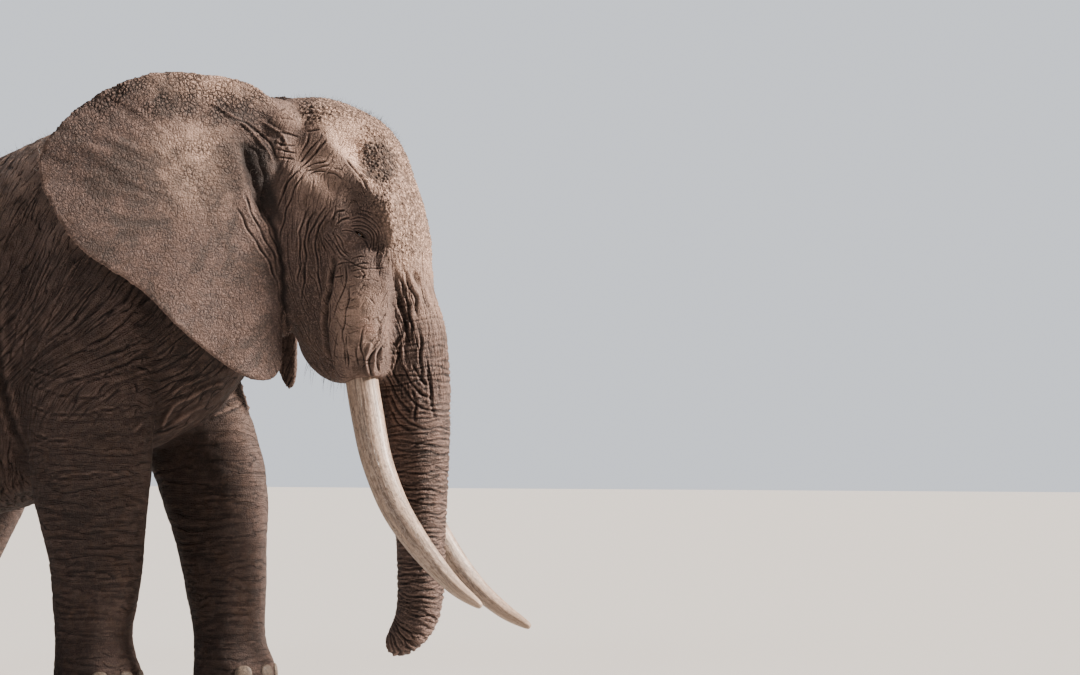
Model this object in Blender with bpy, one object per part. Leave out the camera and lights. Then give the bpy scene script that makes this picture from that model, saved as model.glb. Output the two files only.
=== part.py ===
# Life-size African savanna elephant bull with long tusks, standing, head low, trunk hanging down.
# Metres, +X forward along the body, +Y to the animal's left, +Z up, soles on Z = 0.
# The last step moves everything so that the origin is the centre of the footprint's box.
import math

import bmesh
import bpy
import numpy as np
from mathutils import Matrix, Vector
from mathutils.bvhtree import BVHTree

GAP = 0.0003            # clearance that neighbouring solids keep
RING = 32               # points round each lofted section
STEPS = 5               # sections between two stations
SHARP_ANGLE = math.radians(50)      # edges bent more than this stay sharp
BODY_VOXEL = 0.026      # cell of the voxel union of the body's masses
BODY_SMOOTHING = 7      # rounds of smoothing that blend the masses
BODY_TRIANGLES = 3050   # facets left on the whole body before it is parted
FACET_BIAS = 0.04       # how strongly the head keeps more facets than the rest
HEAD_SHARE = 0.5        # the head's weight in that, against 1 for the rest

HEAD_PIVOT = 0.75       # X where the head turns on the neck
HEAD_TURN = math.radians(8.0)   # the head looks a little to the animal's left
HALF_STANCE = 0.36      # Y of each leg's axis from the middle of the body
SOLE_HEIGHT = 0.0

# Vertical sections of the trunk of the body, tail end first:
# X, top, height of the widest line, bottom, half width.
TORSO = (
    (-2.44, 2.36, 2.10, 1.86, 0.15),
    (-2.38, 2.57, 2.08, 1.62, 0.32),
    (-2.22, 2.80, 2.04, 1.40, 0.46),
    (-2.00, 2.98, 2.00, 1.24, 0.56),
    (-1.75, 3.05, 1.94, 1.10, 0.63),
    (-1.45, 3.03, 1.86, 0.99, 0.69),
    (-1.12, 3.04, 1.82, 0.95, 0.715),
    (-0.80, 3.15, 1.86, 1.01, 0.695),
    (-0.45, 3.28, 1.98, 1.14, 0.62),
    (-0.10, 3.32, 2.12, 1.30, 0.545),
    (0.25, 3.28, 2.22, 1.44, 0.48),
    (0.50, 3.22, 2.32, 1.60, 0.40),
    (0.70, 3.12, 2.40, 1.84, 0.28),
    (0.80, 2.96, 2.46, 2.04, 0.14),
)
TORSO_SQUARE = (1.85, 2.1)      # squareness above and below the widest line
# Vertical sections of the neck, shoulder end first: X, Y, top, widest line, bottom, half width.
NECK = (
    (0.10, 0.00, 3.22, 2.50, 1.60, 0.45),
    (0.45, 0.00, 3.25, 2.55, 1.76, 0.45),
    (0.80, 0.01, 3.28, 2.60, 1.96, 0.41),
    (1.05, 0.04, 3.31, 2.65, 2.10, 0.38),
    (1.25, 0.07, 3.20, 2.65, 2.24, 0.26),
)
NECK_SQUARE = (2.0, 2.2)
# Level sections of the skull and face in the head's own frame, crown first:
# height, front, X of the widest line, back, half width, squareness of the front.
SKULL = (
    (3.405, 1.20, 1.08, 0.96, 0.10, 2.0),
    (3.36, 1.33, 1.10, 0.86, 0.21, 2.1),
    (3.25, 1.53, 1.13, 0.74, 0.305, 2.2),
    (3.10, 1.645, 1.16, 0.70, 0.345, 2.3),
    (2.94, 1.70, 1.17, 0.70, 0.375, 2.4),
    (2.76, 1.76, 1.16, 0.70, 0.405, 2.4),
    (2.58, 1.80, 1.15, 0.72, 0.42, 2.4),
    (2.38, 1.80, 1.16, 0.80, 0.41, 2.3),
    (2.20, 1.74, 1.18, 0.92, 0.375, 2.2),
    (2.02, 1.62, 1.21, 1.03, 0.30, 2.1),
    (1.90, 1.46, 1.24, 1.11, 0.20, 2.0),
)
# Level sections of the lower jaw, in the head's frame: height, front, middle, back, half width.
JAW = (
    (2.40, 1.44, 1.24, 1.02, 0.33),
    (2.16, 1.44, 1.24, 1.04, 0.28),
    (1.98, 1.43, 1.24, 1.035, 0.220),
    (1.88, 1.42, 1.27, 1.075, 0.175),
    (1.80, 1.40, 1.29, 1.150, 0.125),
    (1.752, 1.37, 1.31, 1.240, 0.065),
)
# The trunk's centre line in the head's frame, root first: X, height, half depth, half width.
TRUNK = (
    (1.52, 2.72, 0.215, 0.280),
    (1.554, 2.48, 0.244, 0.270),
    (1.580, 2.24, 0.252, 0.250),
    (1.648, 2.00, 0.258, 0.236),
    (1.703, 1.75, 0.220, 0.220),
    (1.733, 1.45, 0.191, 0.203),
    (1.746, 1.15, 0.166, 0.182),
    (1.754, 0.87, 0.145, 0.162),
    (1.756, 0.64, 0.138, 0.150),
    (1.748, 0.47, 0.132, 0.142),
    (1.700, 0.345, 0.116, 0.126),
    (1.625, 0.270, 0.094, 0.108),
    (1.555, 0.250, 0.066, 0.084),
)
# The fleshy sheath of a tusk, in the head's frame: X, height, half depth, half width.
SHEATH = (
    (1.50, 2.52, 0.17, 0.13),
    (1.48, 2.28, 0.195, 0.145),
    (1.475, 2.04, 0.185, 0.150),
    (1.475, 1.88, 0.168, 0.140),
    (1.490, 1.77, 0.135, 0.120),
)
SHEATH_Y = 0.275
# Level sections of a front leg: height, half depth, half width.
FRONT_LEG = (
    (2.80, 0.26, 0.13),
    (2.45, 0.38, 0.20),
    (2.00, 0.415, 0.225),
    (1.60, 0.405, 0.235),
    (1.30, 0.385, 0.230),
    (1.06, 0.352, 0.222),
    (0.86, 0.305, 0.222),
    (0.70, 0.277, 0.225),
    (0.50, 0.250, 0.222),
    (0.34, 0.226, 0.212),
    (0.22, 0.226, 0.216),
    (0.10, 0.252, 0.242),
    (-0.06, 0.266, 0.256),
)
# Level sections of a hind leg: height, half depth, half width.
HIND_LEG = (
    (2.60, 0.34, 0.22),
    (2.20, 0.48, 0.26),
    (1.80, 0.50, 0.27),
    (1.40, 0.43, 0.25),
    (1.10, 0.34, 0.22),
    (0.82, 0.262, 0.200),
    (0.52, 0.212, 0.188),
    (0.32, 0.192, 0.180),
    (0.20, 0.198, 0.184),
    (0.09, 0.226, 0.200),
    (-0.06, 0.238, 0.208),
)
# X of each leg's axis at the heights of its sections, top to sole: the legs are mid-stride.
LEG_AXES = {
    "front_right": (-0.10, -0.12, -0.12, -0.11, -0.105, -0.105, -0.09, -0.075, -0.08, -0.09,
                    -0.085, -0.065, -0.055),
    "front_left": (-0.10, -0.08, 0.00, 0.14, 0.265, 0.335, 0.372, 0.395, 0.415, 0.430,
                   0.442, 0.465, 0.478),
    "hind_right": (-1.80, -1.83, -1.82, -1.76, -1.72, -1.80, -1.91, -1.92, -1.90, -1.875, -1.865),
    "hind_left": (-1.80, -1.80, -1.70, -1.46, -1.28, -1.33, -1.42, -1.43, -1.41, -1.385, -1.375),
}
# How deep each leg is beside the sections: the leg set forward is a little slimmer from the side.
LEG_DEPTH = {"front_right": 1.0, "front_left": 0.94, "hind_right": 1.0, "hind_left": 1.0}
# Y of a leg's axis, as a share of the half stance, top to sole.
FRONT_SPREAD = (0.90, 1.10, 1.17, 1.14, 1.08, 1.03, 1.0, 1.0, 1.0, 1.0, 1.0, 1.0, 1.0)
HIND_SPREAD = (0.95, 1.10, 1.16, 1.14, 1.08, 1.04, 1.0, 1.0, 1.0, 1.0, 1.0)

# Swellings (+) and hollows (-) pressed into the blended body, in the head's frame where
# "head" is set and on both sides: place, reach along X, Y and Z, height.
RELIEF = (
    ("head", (1.44, 0.32, 3.06), (0.15, 0.20, 0.13), -0.050),    # temple hollow
    ("head", (1.22, 0.40, 2.93), (0.26, 0.16, 0.10), 0.040),     # cheekbone arch, rear
    ("head", (1.62, 0.30, 2.72), (0.10, 0.16, 0.16), 0.035),     # brow ridge
    ("head", (1.50, 0.36, 2.58), (0.085, 0.14, 0.08), -0.030),   # hollow round the eye
    ("head", (1.02, 0.38, 2.98), (0.10, 0.18, 0.26), 0.035),     # root of the ear
    ("head", (1.24, 0.34, 2.30), (0.07, 0.16, 0.30), -0.030),    # furrow behind the cheek
    ("head", (1.64, 0.28, 2.30), (0.06, 0.14, 0.22), -0.025),    # furrow beside the trunk's root
    ("body", (-0.20, 0.50, 2.55), (0.16, 0.30, 0.45), 0.035),    # shoulder blade's spine
    ("body", (0.28, 0.50, 2.10), (0.14, 0.30, 0.28), 0.030),     # point of the shoulder
    ("body", (-0.52, 0.60, 1.75), (0.12, 0.35, 0.50), -0.040),   # fold behind the shoulder
    ("body", (-1.78, 0.52, 2.72), (0.22, 0.30, 0.16), 0.045),    # hip bone
    ("body", (-1.45, 0.66, 2.20), (0.20, 0.30, 0.40), -0.045),   # flank hollow
    ("body", (-2.10, 0.48, 2.35), (0.18, 0.30, 0.22), -0.020),   # hollow behind the hip
)

TUSK_RADIUS = 0.096     # at the lip
TUSK_TIP_RADIUS = 0.020
TUSK_SIDES = 8
TUSK_TAPER = (2.1, 0.72)        # powers that keep the tusk thick for long and then narrow it
TUSK_NOSE = (0.70, 0.45)        # the blunt tip's length and width, in tip radii
# A tusk's centre line in the head's frame, root first: X, distance from the middle, height.
TUSKS = {
    "right": ((1.478, 0.280, 1.98), (1.478, 0.284, 1.80), (1.532, 0.330, 1.54), (1.60, 0.395, 1.31),
              (1.705, 0.455, 1.08), (1.82, 0.500, 0.91), (1.95, 0.530, 0.755), (2.085, 0.540, 0.615),
              (2.225, 0.535, 0.510)),
    "left": ((1.478, 0.280, 1.98), (1.478, 0.284, 1.80), (1.530, 0.330, 1.51), (1.59, 0.395, 1.24),
             (1.68, 0.450, 0.99), (1.80, 0.500, 0.765), (1.945, 0.530, 0.575), (2.11, 0.545, 0.43),
             (2.27, 0.540, 0.335)),
}

EAR_ROOT = (1.01, 0.36)         # X and distance from the middle of the line the ear grows from
EAR_ROOT_SPREAD = 0.05          # how much further out that line's foot is than its head
EAR_SWING = math.radians(30.0)  # the ear stands off the neck by this angle
EAR_ROOT_THICKNESS = 0.046
EAR_RIM_THICKNESS = 0.016
EAR_TOP = 3.50
EAR_FOOT = 1.75
EAR_DEPTH = 1.34                # from the root to the rear edge
EAR_HOLLOW = 0.13               # how far the middle of the blade bulges out
EAR_FLARE = 0.07                # how far its rear edge turns out
EAR_FOLD = (0.10, 2.35, 0.60)   # the lower lobe turns out: by how much, below what height, within what reach
EAR_THINNING = (1.10, 0.60)     # the distance over which the blade thins, and the power it thins by
EAR_GRID = (0.42, 0.50)         # spacing of the lines across the blade that let it bend
EAR_SHORTEST_EDGE = 0.012
EAR_SWEEP = {"left": 0.20, "right": 0.0}    # how far back the ear's foot is blown
EAR_DROP = {"left": 0.05, "right": 0.0}     # how much lower the ear's foot hangs
# The ear's outline in its own plane, from the top of the root round: back from the root, height.
EAR_OUTLINE = (
    (-0.03, 3.33), (0.17, 3.46), (0.42, 3.495), (0.64, 3.495), (0.87, 3.43), (1.075, 3.315),
    (1.24, 3.175), (1.335, 3.03), (1.340, 2.88), (1.265, 2.71), (1.10, 2.485), (0.76, 2.265),
    (0.52, 2.04), (0.21, 1.81), (0.04, 1.757), (-0.05, 1.82), (-0.06, 2.00), (-0.05, 2.25),
    (-0.03, 2.52), (-0.08, 2.90),
)
TEAR_REACH = 0.2                # how far a notch's cutter stands out from the blade on each side
# Torn notches in the left ear's lower edge: front, end and rear of each, back from the root, and the end's height.
EAR_TEARS = ((-0.085, 0.10, 0.30, 1.915), (0.334, 0.36, 0.396, 1.99))

EYE_RADIUS = 0.024
EYE_PLACE = (1.487, 2.587)      # X and height in the head's frame
EYE_SUNK = 0.70                 # share of the eye's radius that its centre lies under the skin

# The tail's centre line, root first: X, height.
TAIL = (
    (-2.30, 2.62), (-2.43, 2.60), (-2.515, 2.44), (-2.53, 2.18), (-2.515, 1.85), (-2.50, 1.55), (-2.50, 1.30),
)
TAIL_RADII = (0.085, 0.085, 0.066, 0.050, 0.038, 0.030, 0.026)
TAIL_SIDES = 8
TUFT_LENGTH = 0.42
TUFT_HALF = (0.075, 0.040)      # half depth and half width of the flat brush at the tail's end
# The brush's outline: share of its length from the top, share of its full width.
TUFT_PROFILE = ((0.0, 0.40), (0.15, 0.72), (0.40, 1.0), (0.75, 0.80), (1.0, 0.25))

NAILS = {"front": (-62.0, -24.0, 14.0, 54.0), "hind": (-42.0, 0.0, 42.0)}
NAIL_SIZE = {"front": (0.022, 0.056, 0.050), "hind": (0.020, 0.050, 0.046)}
NAIL_HEIGHT = 0.060
FEET = {"front": "foreleg", "hind": "hindleg"}      # the nodes that end in a sole

# The boxes that part the body into its nodes, taken off in this order.
# Legs, each on its own side of the middle: X from, X to, Z from, Z to.
LEG_INNER = 0.06
LEG_OUTER = 1.5
LEG_BOXES = {
    "foreleg_right": (-0.56, 1.2, -0.5, 1.02), "upper_arm_right": (-0.50, 1.2, 1.02, 1.62),
    "hindleg_right": (-2.8, -0.75, -0.5, 0.93), "thigh_right": (-2.8, -1.20, 0.93, 1.75),
    "foreleg_left": (-0.20, 1.2, -0.5, 1.02), "upper_arm_left": (-0.50, 1.2, 1.02, 1.62),
    "hindleg_left": (-2.8, -0.75, -0.5, 0.93), "thigh_left": (-2.8, -1.20, 0.93, 1.75),
}
# Pieces in the head's frame, then pieces square to the body: low corner, high corner.
HEAD_BOXES = {
    "trunk_lower": ((1.3, -0.5, 0.0), (2.3, 0.5, 0.85)),
    "trunk_middle": ((1.3, -0.5, 0.85), (2.3, 0.5, 1.62)),
    "trunk_upper": ((1.68, -0.6, 1.62), (2.3, 0.6, 2.34)),
    "lower_jaw": ((0.9, -0.22, 1.5), (1.40, 0.22, 2.05)),
    "head": ((0.96, -0.8, 1.4), (2.4, 0.8, 3.6)),
}
BODY_BOXES = {
    "neck": ((0.40, -0.9, 1.2), (1.6, 0.9, 3.6)),
    "rump": ((-3.0, -1.2, 0.5), (-1.25, 1.2, 3.6)),
}
GROUND_BOX = ((-4.0, -3.0, -1.0), (4.0, 3.0, SOLE_HEIGHT))

COLOURS = {
    "hide": (0.105, 0.075, 0.060), "ear": (0.165, 0.122, 0.102), "ivory": (0.56, 0.47, 0.37),
    "horn": (0.20, 0.155, 0.12), "eye": (0.020, 0.011, 0.007), "hair": (0.018, 0.014, 0.012),
}
ROUGHNESS = {"hide": 0.88, "ear": 0.86, "ivory": 0.42, "horn": 0.62, "eye": 0.08, "hair": 0.55}


def clear_scene():
    for item in list(bpy.data.objects):
        bpy.data.objects.remove(item, do_unlink=True)


def make_material(name, kind):
    material = bpy.data.materials.new(name)
    material.use_nodes = True
    shader = material.node_tree.nodes["Principled BSDF"]
    shader.inputs["Base Color"].default_value = (*COLOURS[kind], 1.0)
    shader.inputs["Roughness"].default_value = ROUGHNESS[kind]
    shader.inputs["Metallic"].default_value = 0.0
    material.diffuse_color = (*COLOURS[kind], 1.0)
    return material


def smooth_rows(rows, steps=STEPS):
    """Pass a smooth curve through rows of numbers, all columns at once."""
    rows = np.array(rows, dtype=float)
    padded = np.vstack([2 * rows[0] - rows[1], rows, 2 * rows[-1] - rows[-2]])
    result = []
    for index in range(len(rows) - 1):
        a, b, c, d = padded[index:index + 4]
        for step in range(steps):
            t = step / steps
            result.append(0.5 * (2 * b + (c - a) * t + (2 * a - 5 * b + 4 * c - d) * t ** 2
                                 + (3 * b - a - 3 * c + d) * t ** 3))
    result.append(rows[-1])
    return np.array(result)


def power(value, squareness):
    return math.copysign(abs(value) ** (2.0 / squareness), value)


def section(centre, side, up, half_side, half_up, half_down, square_up=2.2, square_down=2.2):
    """One closed ring: a rounded shape with its own reach above and below its widest line."""
    points = []
    for index in range(RING):
        angle = math.tau * index / RING
        upward = math.sin(angle) >= 0
        square = square_up if upward else square_down
        reach = half_up if upward else half_down
        points.append(centre + side * half_side * power(math.cos(angle), square)
                      + up * reach * power(math.sin(angle), square))
    return points


def skin_rings(name, rings):
    """Bridge rings into one closed body, its faces turned outward."""
    mesh = bmesh.new()
    loops = [[mesh.verts.new(point) for point in ring] for ring in rings]
    for low, high in zip(loops, loops[1:]):
        for index in range(len(low)):
            nxt = (index + 1) % len(low)
            mesh.faces.new((low[index], low[nxt], high[nxt], high[index]))
    mesh.faces.new(loops[0])
    mesh.faces.new(loops[-1])
    bmesh.ops.triangulate(mesh, faces=mesh.faces)
    bmesh.ops.recalc_face_normals(mesh, faces=mesh.faces)
    return object_from(mesh, name)


def round_ring(centre, first, second, sides):
    """Points round a centre; the two vectors give the directions and the radii."""
    angles = [math.tau * index / sides for index in range(sides)]
    return [centre + first * math.cos(angle) + second * math.sin(angle) for angle in angles]


def object_from(mesh, name):
    data = bpy.data.meshes.new(name)
    mesh.to_mesh(data)
    mesh.free()
    item = bpy.data.objects.new(name, data)
    bpy.context.collection.objects.link(item)
    return item


def head_frame():
    pivot = Matrix.Translation((HEAD_PIVOT, 0.0, 0.0))
    return pivot @ Matrix.Rotation(HEAD_TURN, 4, "Z") @ pivot.inverted()


def apply_modifier(item, kind, **settings):
    """Add a modifier with its settings and make its result the object's own mesh."""
    modifier = item.modifiers.new(kind.title(), kind)
    for key, value in settings.items():
        setattr(modifier, key, value)
    graph = bpy.context.evaluated_depsgraph_get()
    data = bpy.data.meshes.new_from_object(item.evaluated_get(graph))
    item.modifiers.clear()
    old = item.data
    item.data = data
    bpy.data.meshes.remove(old)


def join(items, name):
    """Copy several objects' meshes into one new object and remove them."""
    mesh = bmesh.new()
    for item in items:
        data = item.data.copy()
        data.transform(item.matrix_world)
        mesh.from_mesh(data)
        bpy.data.meshes.remove(data)
        bpy.data.objects.remove(item, do_unlink=True)
    return object_from(mesh, name)


# ---- the masses of the body ----

def make_torso():
    side = Vector((0, 1, 0))
    up = Vector((0, 0, 1))
    rings = []
    for x, top, wide, bottom, half in smooth_rows(TORSO):
        rings.append(section(Vector((x, 0, wide)), side, up, half, top - wide, wide - bottom, *TORSO_SQUARE))
    return skin_rings("torso_mass", rings)


def make_neck():
    side = Vector((0, 1, 0))
    up = Vector((0, 0, 1))
    rings = []
    for x, y, top, wide, bottom, half in smooth_rows(NECK):
        rings.append(section(Vector((x, y, wide)), side, up, half, top - wide, wide - bottom, *NECK_SQUARE))
    return skin_rings("neck_mass", rings)


def level_loft(name, rows):
    """A loft of level sections in the head's frame: height, front, middle, back, half width, squareness."""
    side = Vector((0, 1, 0))
    ahead = Vector((1, 0, 0))
    rings = []
    for height, front, middle, back, half, square in smooth_rows(rows):
        centre = Vector((middle, 0, height))
        rings.append(section(centre, side, ahead, half, front - middle, middle - back, square, 2.2))
    item = skin_rings(name, rings)
    item.data.transform(head_frame())
    return item


def make_skull():
    return level_loft("skull_mass", SKULL)


def make_jaw():
    return level_loft("jaw_mass", [row + (2.2,) for row in JAW])


def swept(name, rows, y=0.0, frame=None):
    """A round form along a line in an upright plane: X, height, half depth, half width."""
    rows = smooth_rows(rows)
    side = Vector((0, 1, 0))
    tangents = np.gradient(rows[:, :2], axis=0)
    rings = []
    for row, tangent in zip(rows, tangents):
        along = Vector((tangent[0], 0, tangent[1])).normalized()
        depth = side.cross(along).normalized()
        rings.append(section(Vector((row[0], y, row[1])), side, depth, row[3], row[2], row[2]))
    item = skin_rings(name, rings)
    if frame is not None:
        item.data.transform(frame)
    return item


def make_trunk():
    return swept("trunk_mass", TRUNK, frame=head_frame())


def make_sheath(sign):
    return swept("sheath_mass", SHEATH, y=sign * SHEATH_Y, frame=head_frame())


def make_leg(name):
    """Level sections round the leg's bent axis, from inside the body to below the sole."""
    front = name.startswith("front")
    sections = FRONT_LEG if front else HIND_LEG
    spread = FRONT_SPREAD if front else HIND_SPREAD
    sign = 1 if name.endswith("left") else -1
    slim = LEG_DEPTH[name]
    rows = [(height, x, sign * HALF_STANCE * share, depth * slim, width)
            for (height, depth, width), x, share in zip(sections, LEG_AXES[name], spread)]
    rings = []
    for height, x, y, depth, width in smooth_rows(rows):
        centre = Vector((x, y, height))
        rings.append(section(centre, Vector((0, 1, 0)), Vector((1, 0, 0)), width, depth, depth))
    return skin_rings(name + "_mass", rings)


def press_relief(item):
    """Move the surface in and out by soft bumps, on both sides of the animal."""
    data = item.data
    count = len(data.vertices)
    places = np.empty(count * 3, dtype=np.float32)
    normals = np.empty(count * 3, dtype=np.float32)
    data.vertices.foreach_get("co", places)
    data.vertex_normals.foreach_get("vector", normals)
    places = places.reshape(-1, 3).astype(float)
    normals = normals.reshape(-1, 3).astype(float)
    turned = np.array(head_frame().inverted())
    in_head = places @ turned[:3, :3].T + turned[:3, 3]
    push = np.zeros(count)
    for frame, place, reach, height in RELIEF:
        points = in_head if frame == "head" else places
        for sign in (-1, 1):
            offset = (points - np.array(place) * (1, sign, 1)) / np.array(reach)
            push += height * np.exp(-(offset ** 2).sum(axis=1))
    places += normals * push[:, None]
    data.vertices.foreach_set("co", places.astype(np.float32).ravel())
    data.update()


def make_body():
    """All the masses in one closed, blended, faceted body, without ears, tail, tusks or nails."""
    masses = [make_torso(), make_neck(), make_skull(), make_jaw(), make_trunk()]
    masses += [make_sheath(sign) for sign in (-1, 1)]
    masses += [make_leg(name) for name in LEG_AXES]
    body = join(masses, "body")
    apply_modifier(body, "REMESH", mode="VOXEL", voxel_size=BODY_VOXEL)
    apply_modifier(body, "SMOOTH", factor=0.5, iterations=BODY_SMOOTHING)
    press_relief(body)
    apply_modifier(body, "SMOOTH", factor=0.5, iterations=2)
    apply_modifier(body, "TRIANGULATE")
    plain = body.vertex_groups.new(name="plain")
    for vertex in body.data.vertices:
        in_head = vertex.co.x > NECK[-2][0] and vertex.co.z > SHEATH[-1][1]
        plain.add([vertex.index], HEAD_SHARE if in_head else 1.0, "REPLACE")
    share = BODY_TRIANGLES / len(body.data.polygons)
    apply_modifier(body, "DECIMATE", decimate_type="COLLAPSE", ratio=share,
                   vertex_group="plain", vertex_group_factor=FACET_BIAS)
    body.vertex_groups.clear()
    return body


# ---- cutting ----

def box_between(name, low, high, frame=None):
    mesh = bmesh.new()
    bmesh.ops.create_cube(mesh, size=1.0)
    low = Vector(low)
    high = Vector(high)
    for vertex in mesh.verts:
        vertex.co = Vector([low[i] + (vertex.co[i] + 0.5) * (high[i] - low[i]) for i in range(3)])
    item = object_from(mesh, name)
    if frame is not None:
        item.data.transform(frame)
    item.hide_render = True
    item.display_type = "WIRE"
    return item


def boolean(item, cutter, operation):
    apply_modifier(item, "BOOLEAN", operation=operation, object=cutter, solver="EXACT")


def duplicate(item, name):
    copy = bpy.data.objects.new(name, item.data.copy())
    bpy.context.collection.objects.link(copy)
    return copy


def keep_largest(item):
    """Drop the crumbs that a cut leaves beside the main body."""
    mesh = bmesh.new()
    mesh.from_mesh(item.data)
    mesh.verts.index_update()
    unseen = set(mesh.verts)
    groups = []
    while unseen:
        start = unseen.pop()
        group = [start]
        stack = [start]
        while stack:
            vertex = stack.pop()
            for edge in vertex.link_edges:
                other = edge.other_vert(vertex)
                if other in unseen:
                    unseen.remove(other)
                    group.append(other)
                    stack.append(other)
        groups.append(group)
    groups.sort(key=len, reverse=True)
    for group in groups[1:]:
        bmesh.ops.delete(mesh, geom=group, context="VERTS")
    bmesh.ops.triangulate(mesh, faces=mesh.faces)
    mesh.to_mesh(item.data)
    mesh.free()


def part_off(body, name, low, high, frame=None):
    """Take the piece of the body inside a box as its own node, with a thin gap left round it."""
    piece = duplicate(body, name)
    cutter = box_between(name + "_cut", low, high, frame)
    boolean(piece, cutter, "INTERSECT")
    bpy.data.objects.remove(cutter, do_unlink=True)
    clearance = Vector((GAP, GAP, GAP))
    wider = box_between(name + "_gap", Vector(low) - clearance, Vector(high) + clearance, frame)
    boolean(body, wider, "DIFFERENCE")
    bpy.data.objects.remove(wider, do_unlink=True)
    keep_largest(piece)
    return piece


def grown(item, name, distance=GAP):
    """A copy of a body swollen by a hair, used to cut the seat of its neighbour."""
    copy = duplicate(item, name)
    apply_modifier(copy, "DISPLACE", strength=distance, mid_level=0.0)
    copy.hide_render = True
    copy.display_type = "WIRE"
    return copy


def cut_clear(item, neighbours):
    """Trim an object so that it stays a hair clear of its neighbours."""
    for neighbour in neighbours:
        cutter = grown(neighbour, "seat_cut")
        boolean(item, cutter, "DIFFERENCE")
        bpy.data.objects.remove(cutter, do_unlink=True)
    keep_largest(item)


# ---- the separate pieces ----

def tusk_path(side):
    sign = 1 if side == "left" else -1
    return [Vector((x, sign * y, z)) for x, y, z in smooth_rows(TUSKS[side], 2)]


def make_tusk(side):
    """A tapering round tooth along its curve, in rings square to the curve, with a rounded tip."""
    path = tusk_path(side)
    rings = []
    sideways = Vector((0, 1, 0))
    for index, place in enumerate(path):
        along = (path[min(index + 1, len(path) - 1)] - path[max(index - 1, 0)]).normalized()
        across = (sideways - along * sideways.dot(along)).normalized()
        over = along.cross(across)
        share = index / (len(path) - 1)
        fullness = (1 - share ** TUSK_TAPER[0]) ** TUSK_TAPER[1]
        radius = TUSK_TIP_RADIUS + (TUSK_RADIUS - TUSK_TIP_RADIUS) * fullness
        rings.append(round_ring(place, across * radius, over * radius, TUSK_SIDES))
    tip = path[-1]
    along = (path[-1] - path[-2]).normalized()
    length, width = TUSK_NOSE
    rings.append([tip + along * TUSK_TIP_RADIUS * length + (point - tip) * width for point in rings[-1]])
    item = skin_rings("tusk_" + side, rings)
    item.data.transform(head_frame())
    return item


def ear_point(side, back, height, offset):
    """Map the ear's own plane into the head's frame: the blade swings out and hollows towards the front."""
    sign = 1 if side == "left" else -1
    share = (height - EAR_FOOT) / (EAR_TOP - EAR_FOOT)
    reach = max(back, 0.0) / EAR_DEPTH
    hollow = EAR_HOLLOW * math.sin(min(reach, 1.0) * math.pi) * (0.35 + 0.65 * share)
    rim = EAR_FLARE * reach ** 2
    fold, fold_top, fold_reach = EAR_FOLD
    droop = fold * max(0.0, (fold_top - height) / fold_reach) ** 1.5
    root = EAR_ROOT[1] + EAR_ROOT_SPREAD * (1 - share)
    out = root + back * math.sin(EAR_SWING) + hollow + rim + droop
    x = EAR_ROOT[0] - back * math.cos(EAR_SWING) - EAR_SWEEP[side] * max(0.0, 1 - share)
    normal = Vector((math.sin(EAR_SWING), sign * math.cos(EAR_SWING), 0))
    return Vector((x, sign * out, height - EAR_DROP[side] * max(0.0, 1 - share))) + normal * offset


def ear_outline():
    closed = list(EAR_OUTLINE) + [EAR_OUTLINE[0], EAR_OUTLINE[1]]
    return [tuple(row) for row in smooth_rows(closed, 2)[:-3]]


def slice_grid(mesh, axis, lines):
    """Cross a flat mesh with straight cuts, so that it can bend."""
    normal = [0.0, 0.0, 0.0]
    normal[axis] = 1.0
    for line in lines:
        place = [0.0, 0.0, 0.0]
        place[axis] = line
        bmesh.ops.bisect_plane(mesh, geom=mesh.verts[:] + mesh.edges[:] + mesh.faces[:],
                               plane_co=place, plane_no=normal)


def ear_thickness(back, at_rim):
    distance, strength = EAR_THINNING
    share = min(max(back, 0.0) / distance, 1.0)
    thickness = EAR_ROOT_THICKNESS + (EAR_RIM_THICKNESS - EAR_ROOT_THICKNESS) * share ** strength
    return min(thickness, EAR_RIM_THICKNESS) if at_rim else thickness


def make_ear(side):
    """A thin blade: the outline filled with a grid of points, thick at the root and thin at the rim."""
    flat = bmesh.new()
    corners = [flat.verts.new((x, 0.0, z)) for x, z in ear_outline()]
    edges = [flat.edges.new((corners[i - 1], corners[i])) for i in range(len(corners))]
    bmesh.ops.triangle_fill(flat, edges=edges, use_beauty=True)
    slice_grid(flat, 0, np.arange(EAR_GRID[0] / 2, EAR_DEPTH, EAR_GRID[0]))
    slice_grid(flat, 2, np.arange(EAR_TOP - EAR_GRID[1] / 2, EAR_FOOT + EAR_GRID[1] / 2, -EAR_GRID[1]))
    bmesh.ops.dissolve_degenerate(flat, dist=EAR_SHORTEST_EDGE, edges=flat.edges)
    bmesh.ops.triangulate(flat, faces=flat.faces)
    rim = {vertex for vertex in flat.verts if any(edge.is_boundary for edge in vertex.link_edges)}
    blade = bmesh.new()
    tops = {}
    lows = {}
    for vertex in flat.verts:
        back, height = vertex.co.x, vertex.co.z
        half = ear_thickness(back, vertex in rim) / 2
        tops[vertex] = blade.verts.new(ear_point(side, back, height, half))
        lows[vertex] = blade.verts.new(ear_point(side, back, height, -half))
    for face in flat.faces:
        blade.faces.new([tops[vertex] for vertex in face.verts])
        blade.faces.new([lows[vertex] for vertex in reversed(face.verts)])
    for edge in flat.edges:
        if edge.is_boundary:
            a, b = edge.verts
            blade.faces.new((tops[a], tops[b], lows[b], lows[a]))
    flat.free()
    bmesh.ops.recalc_face_normals(blade, faces=blade.faces)
    bmesh.ops.triangulate(blade, faces=blade.faces)
    item = object_from(blade, "ear_" + side)
    if side == "left":
        for notch in EAR_TEARS:
            tear(item, side, *notch)
    item.data.transform(head_frame())
    return item


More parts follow.
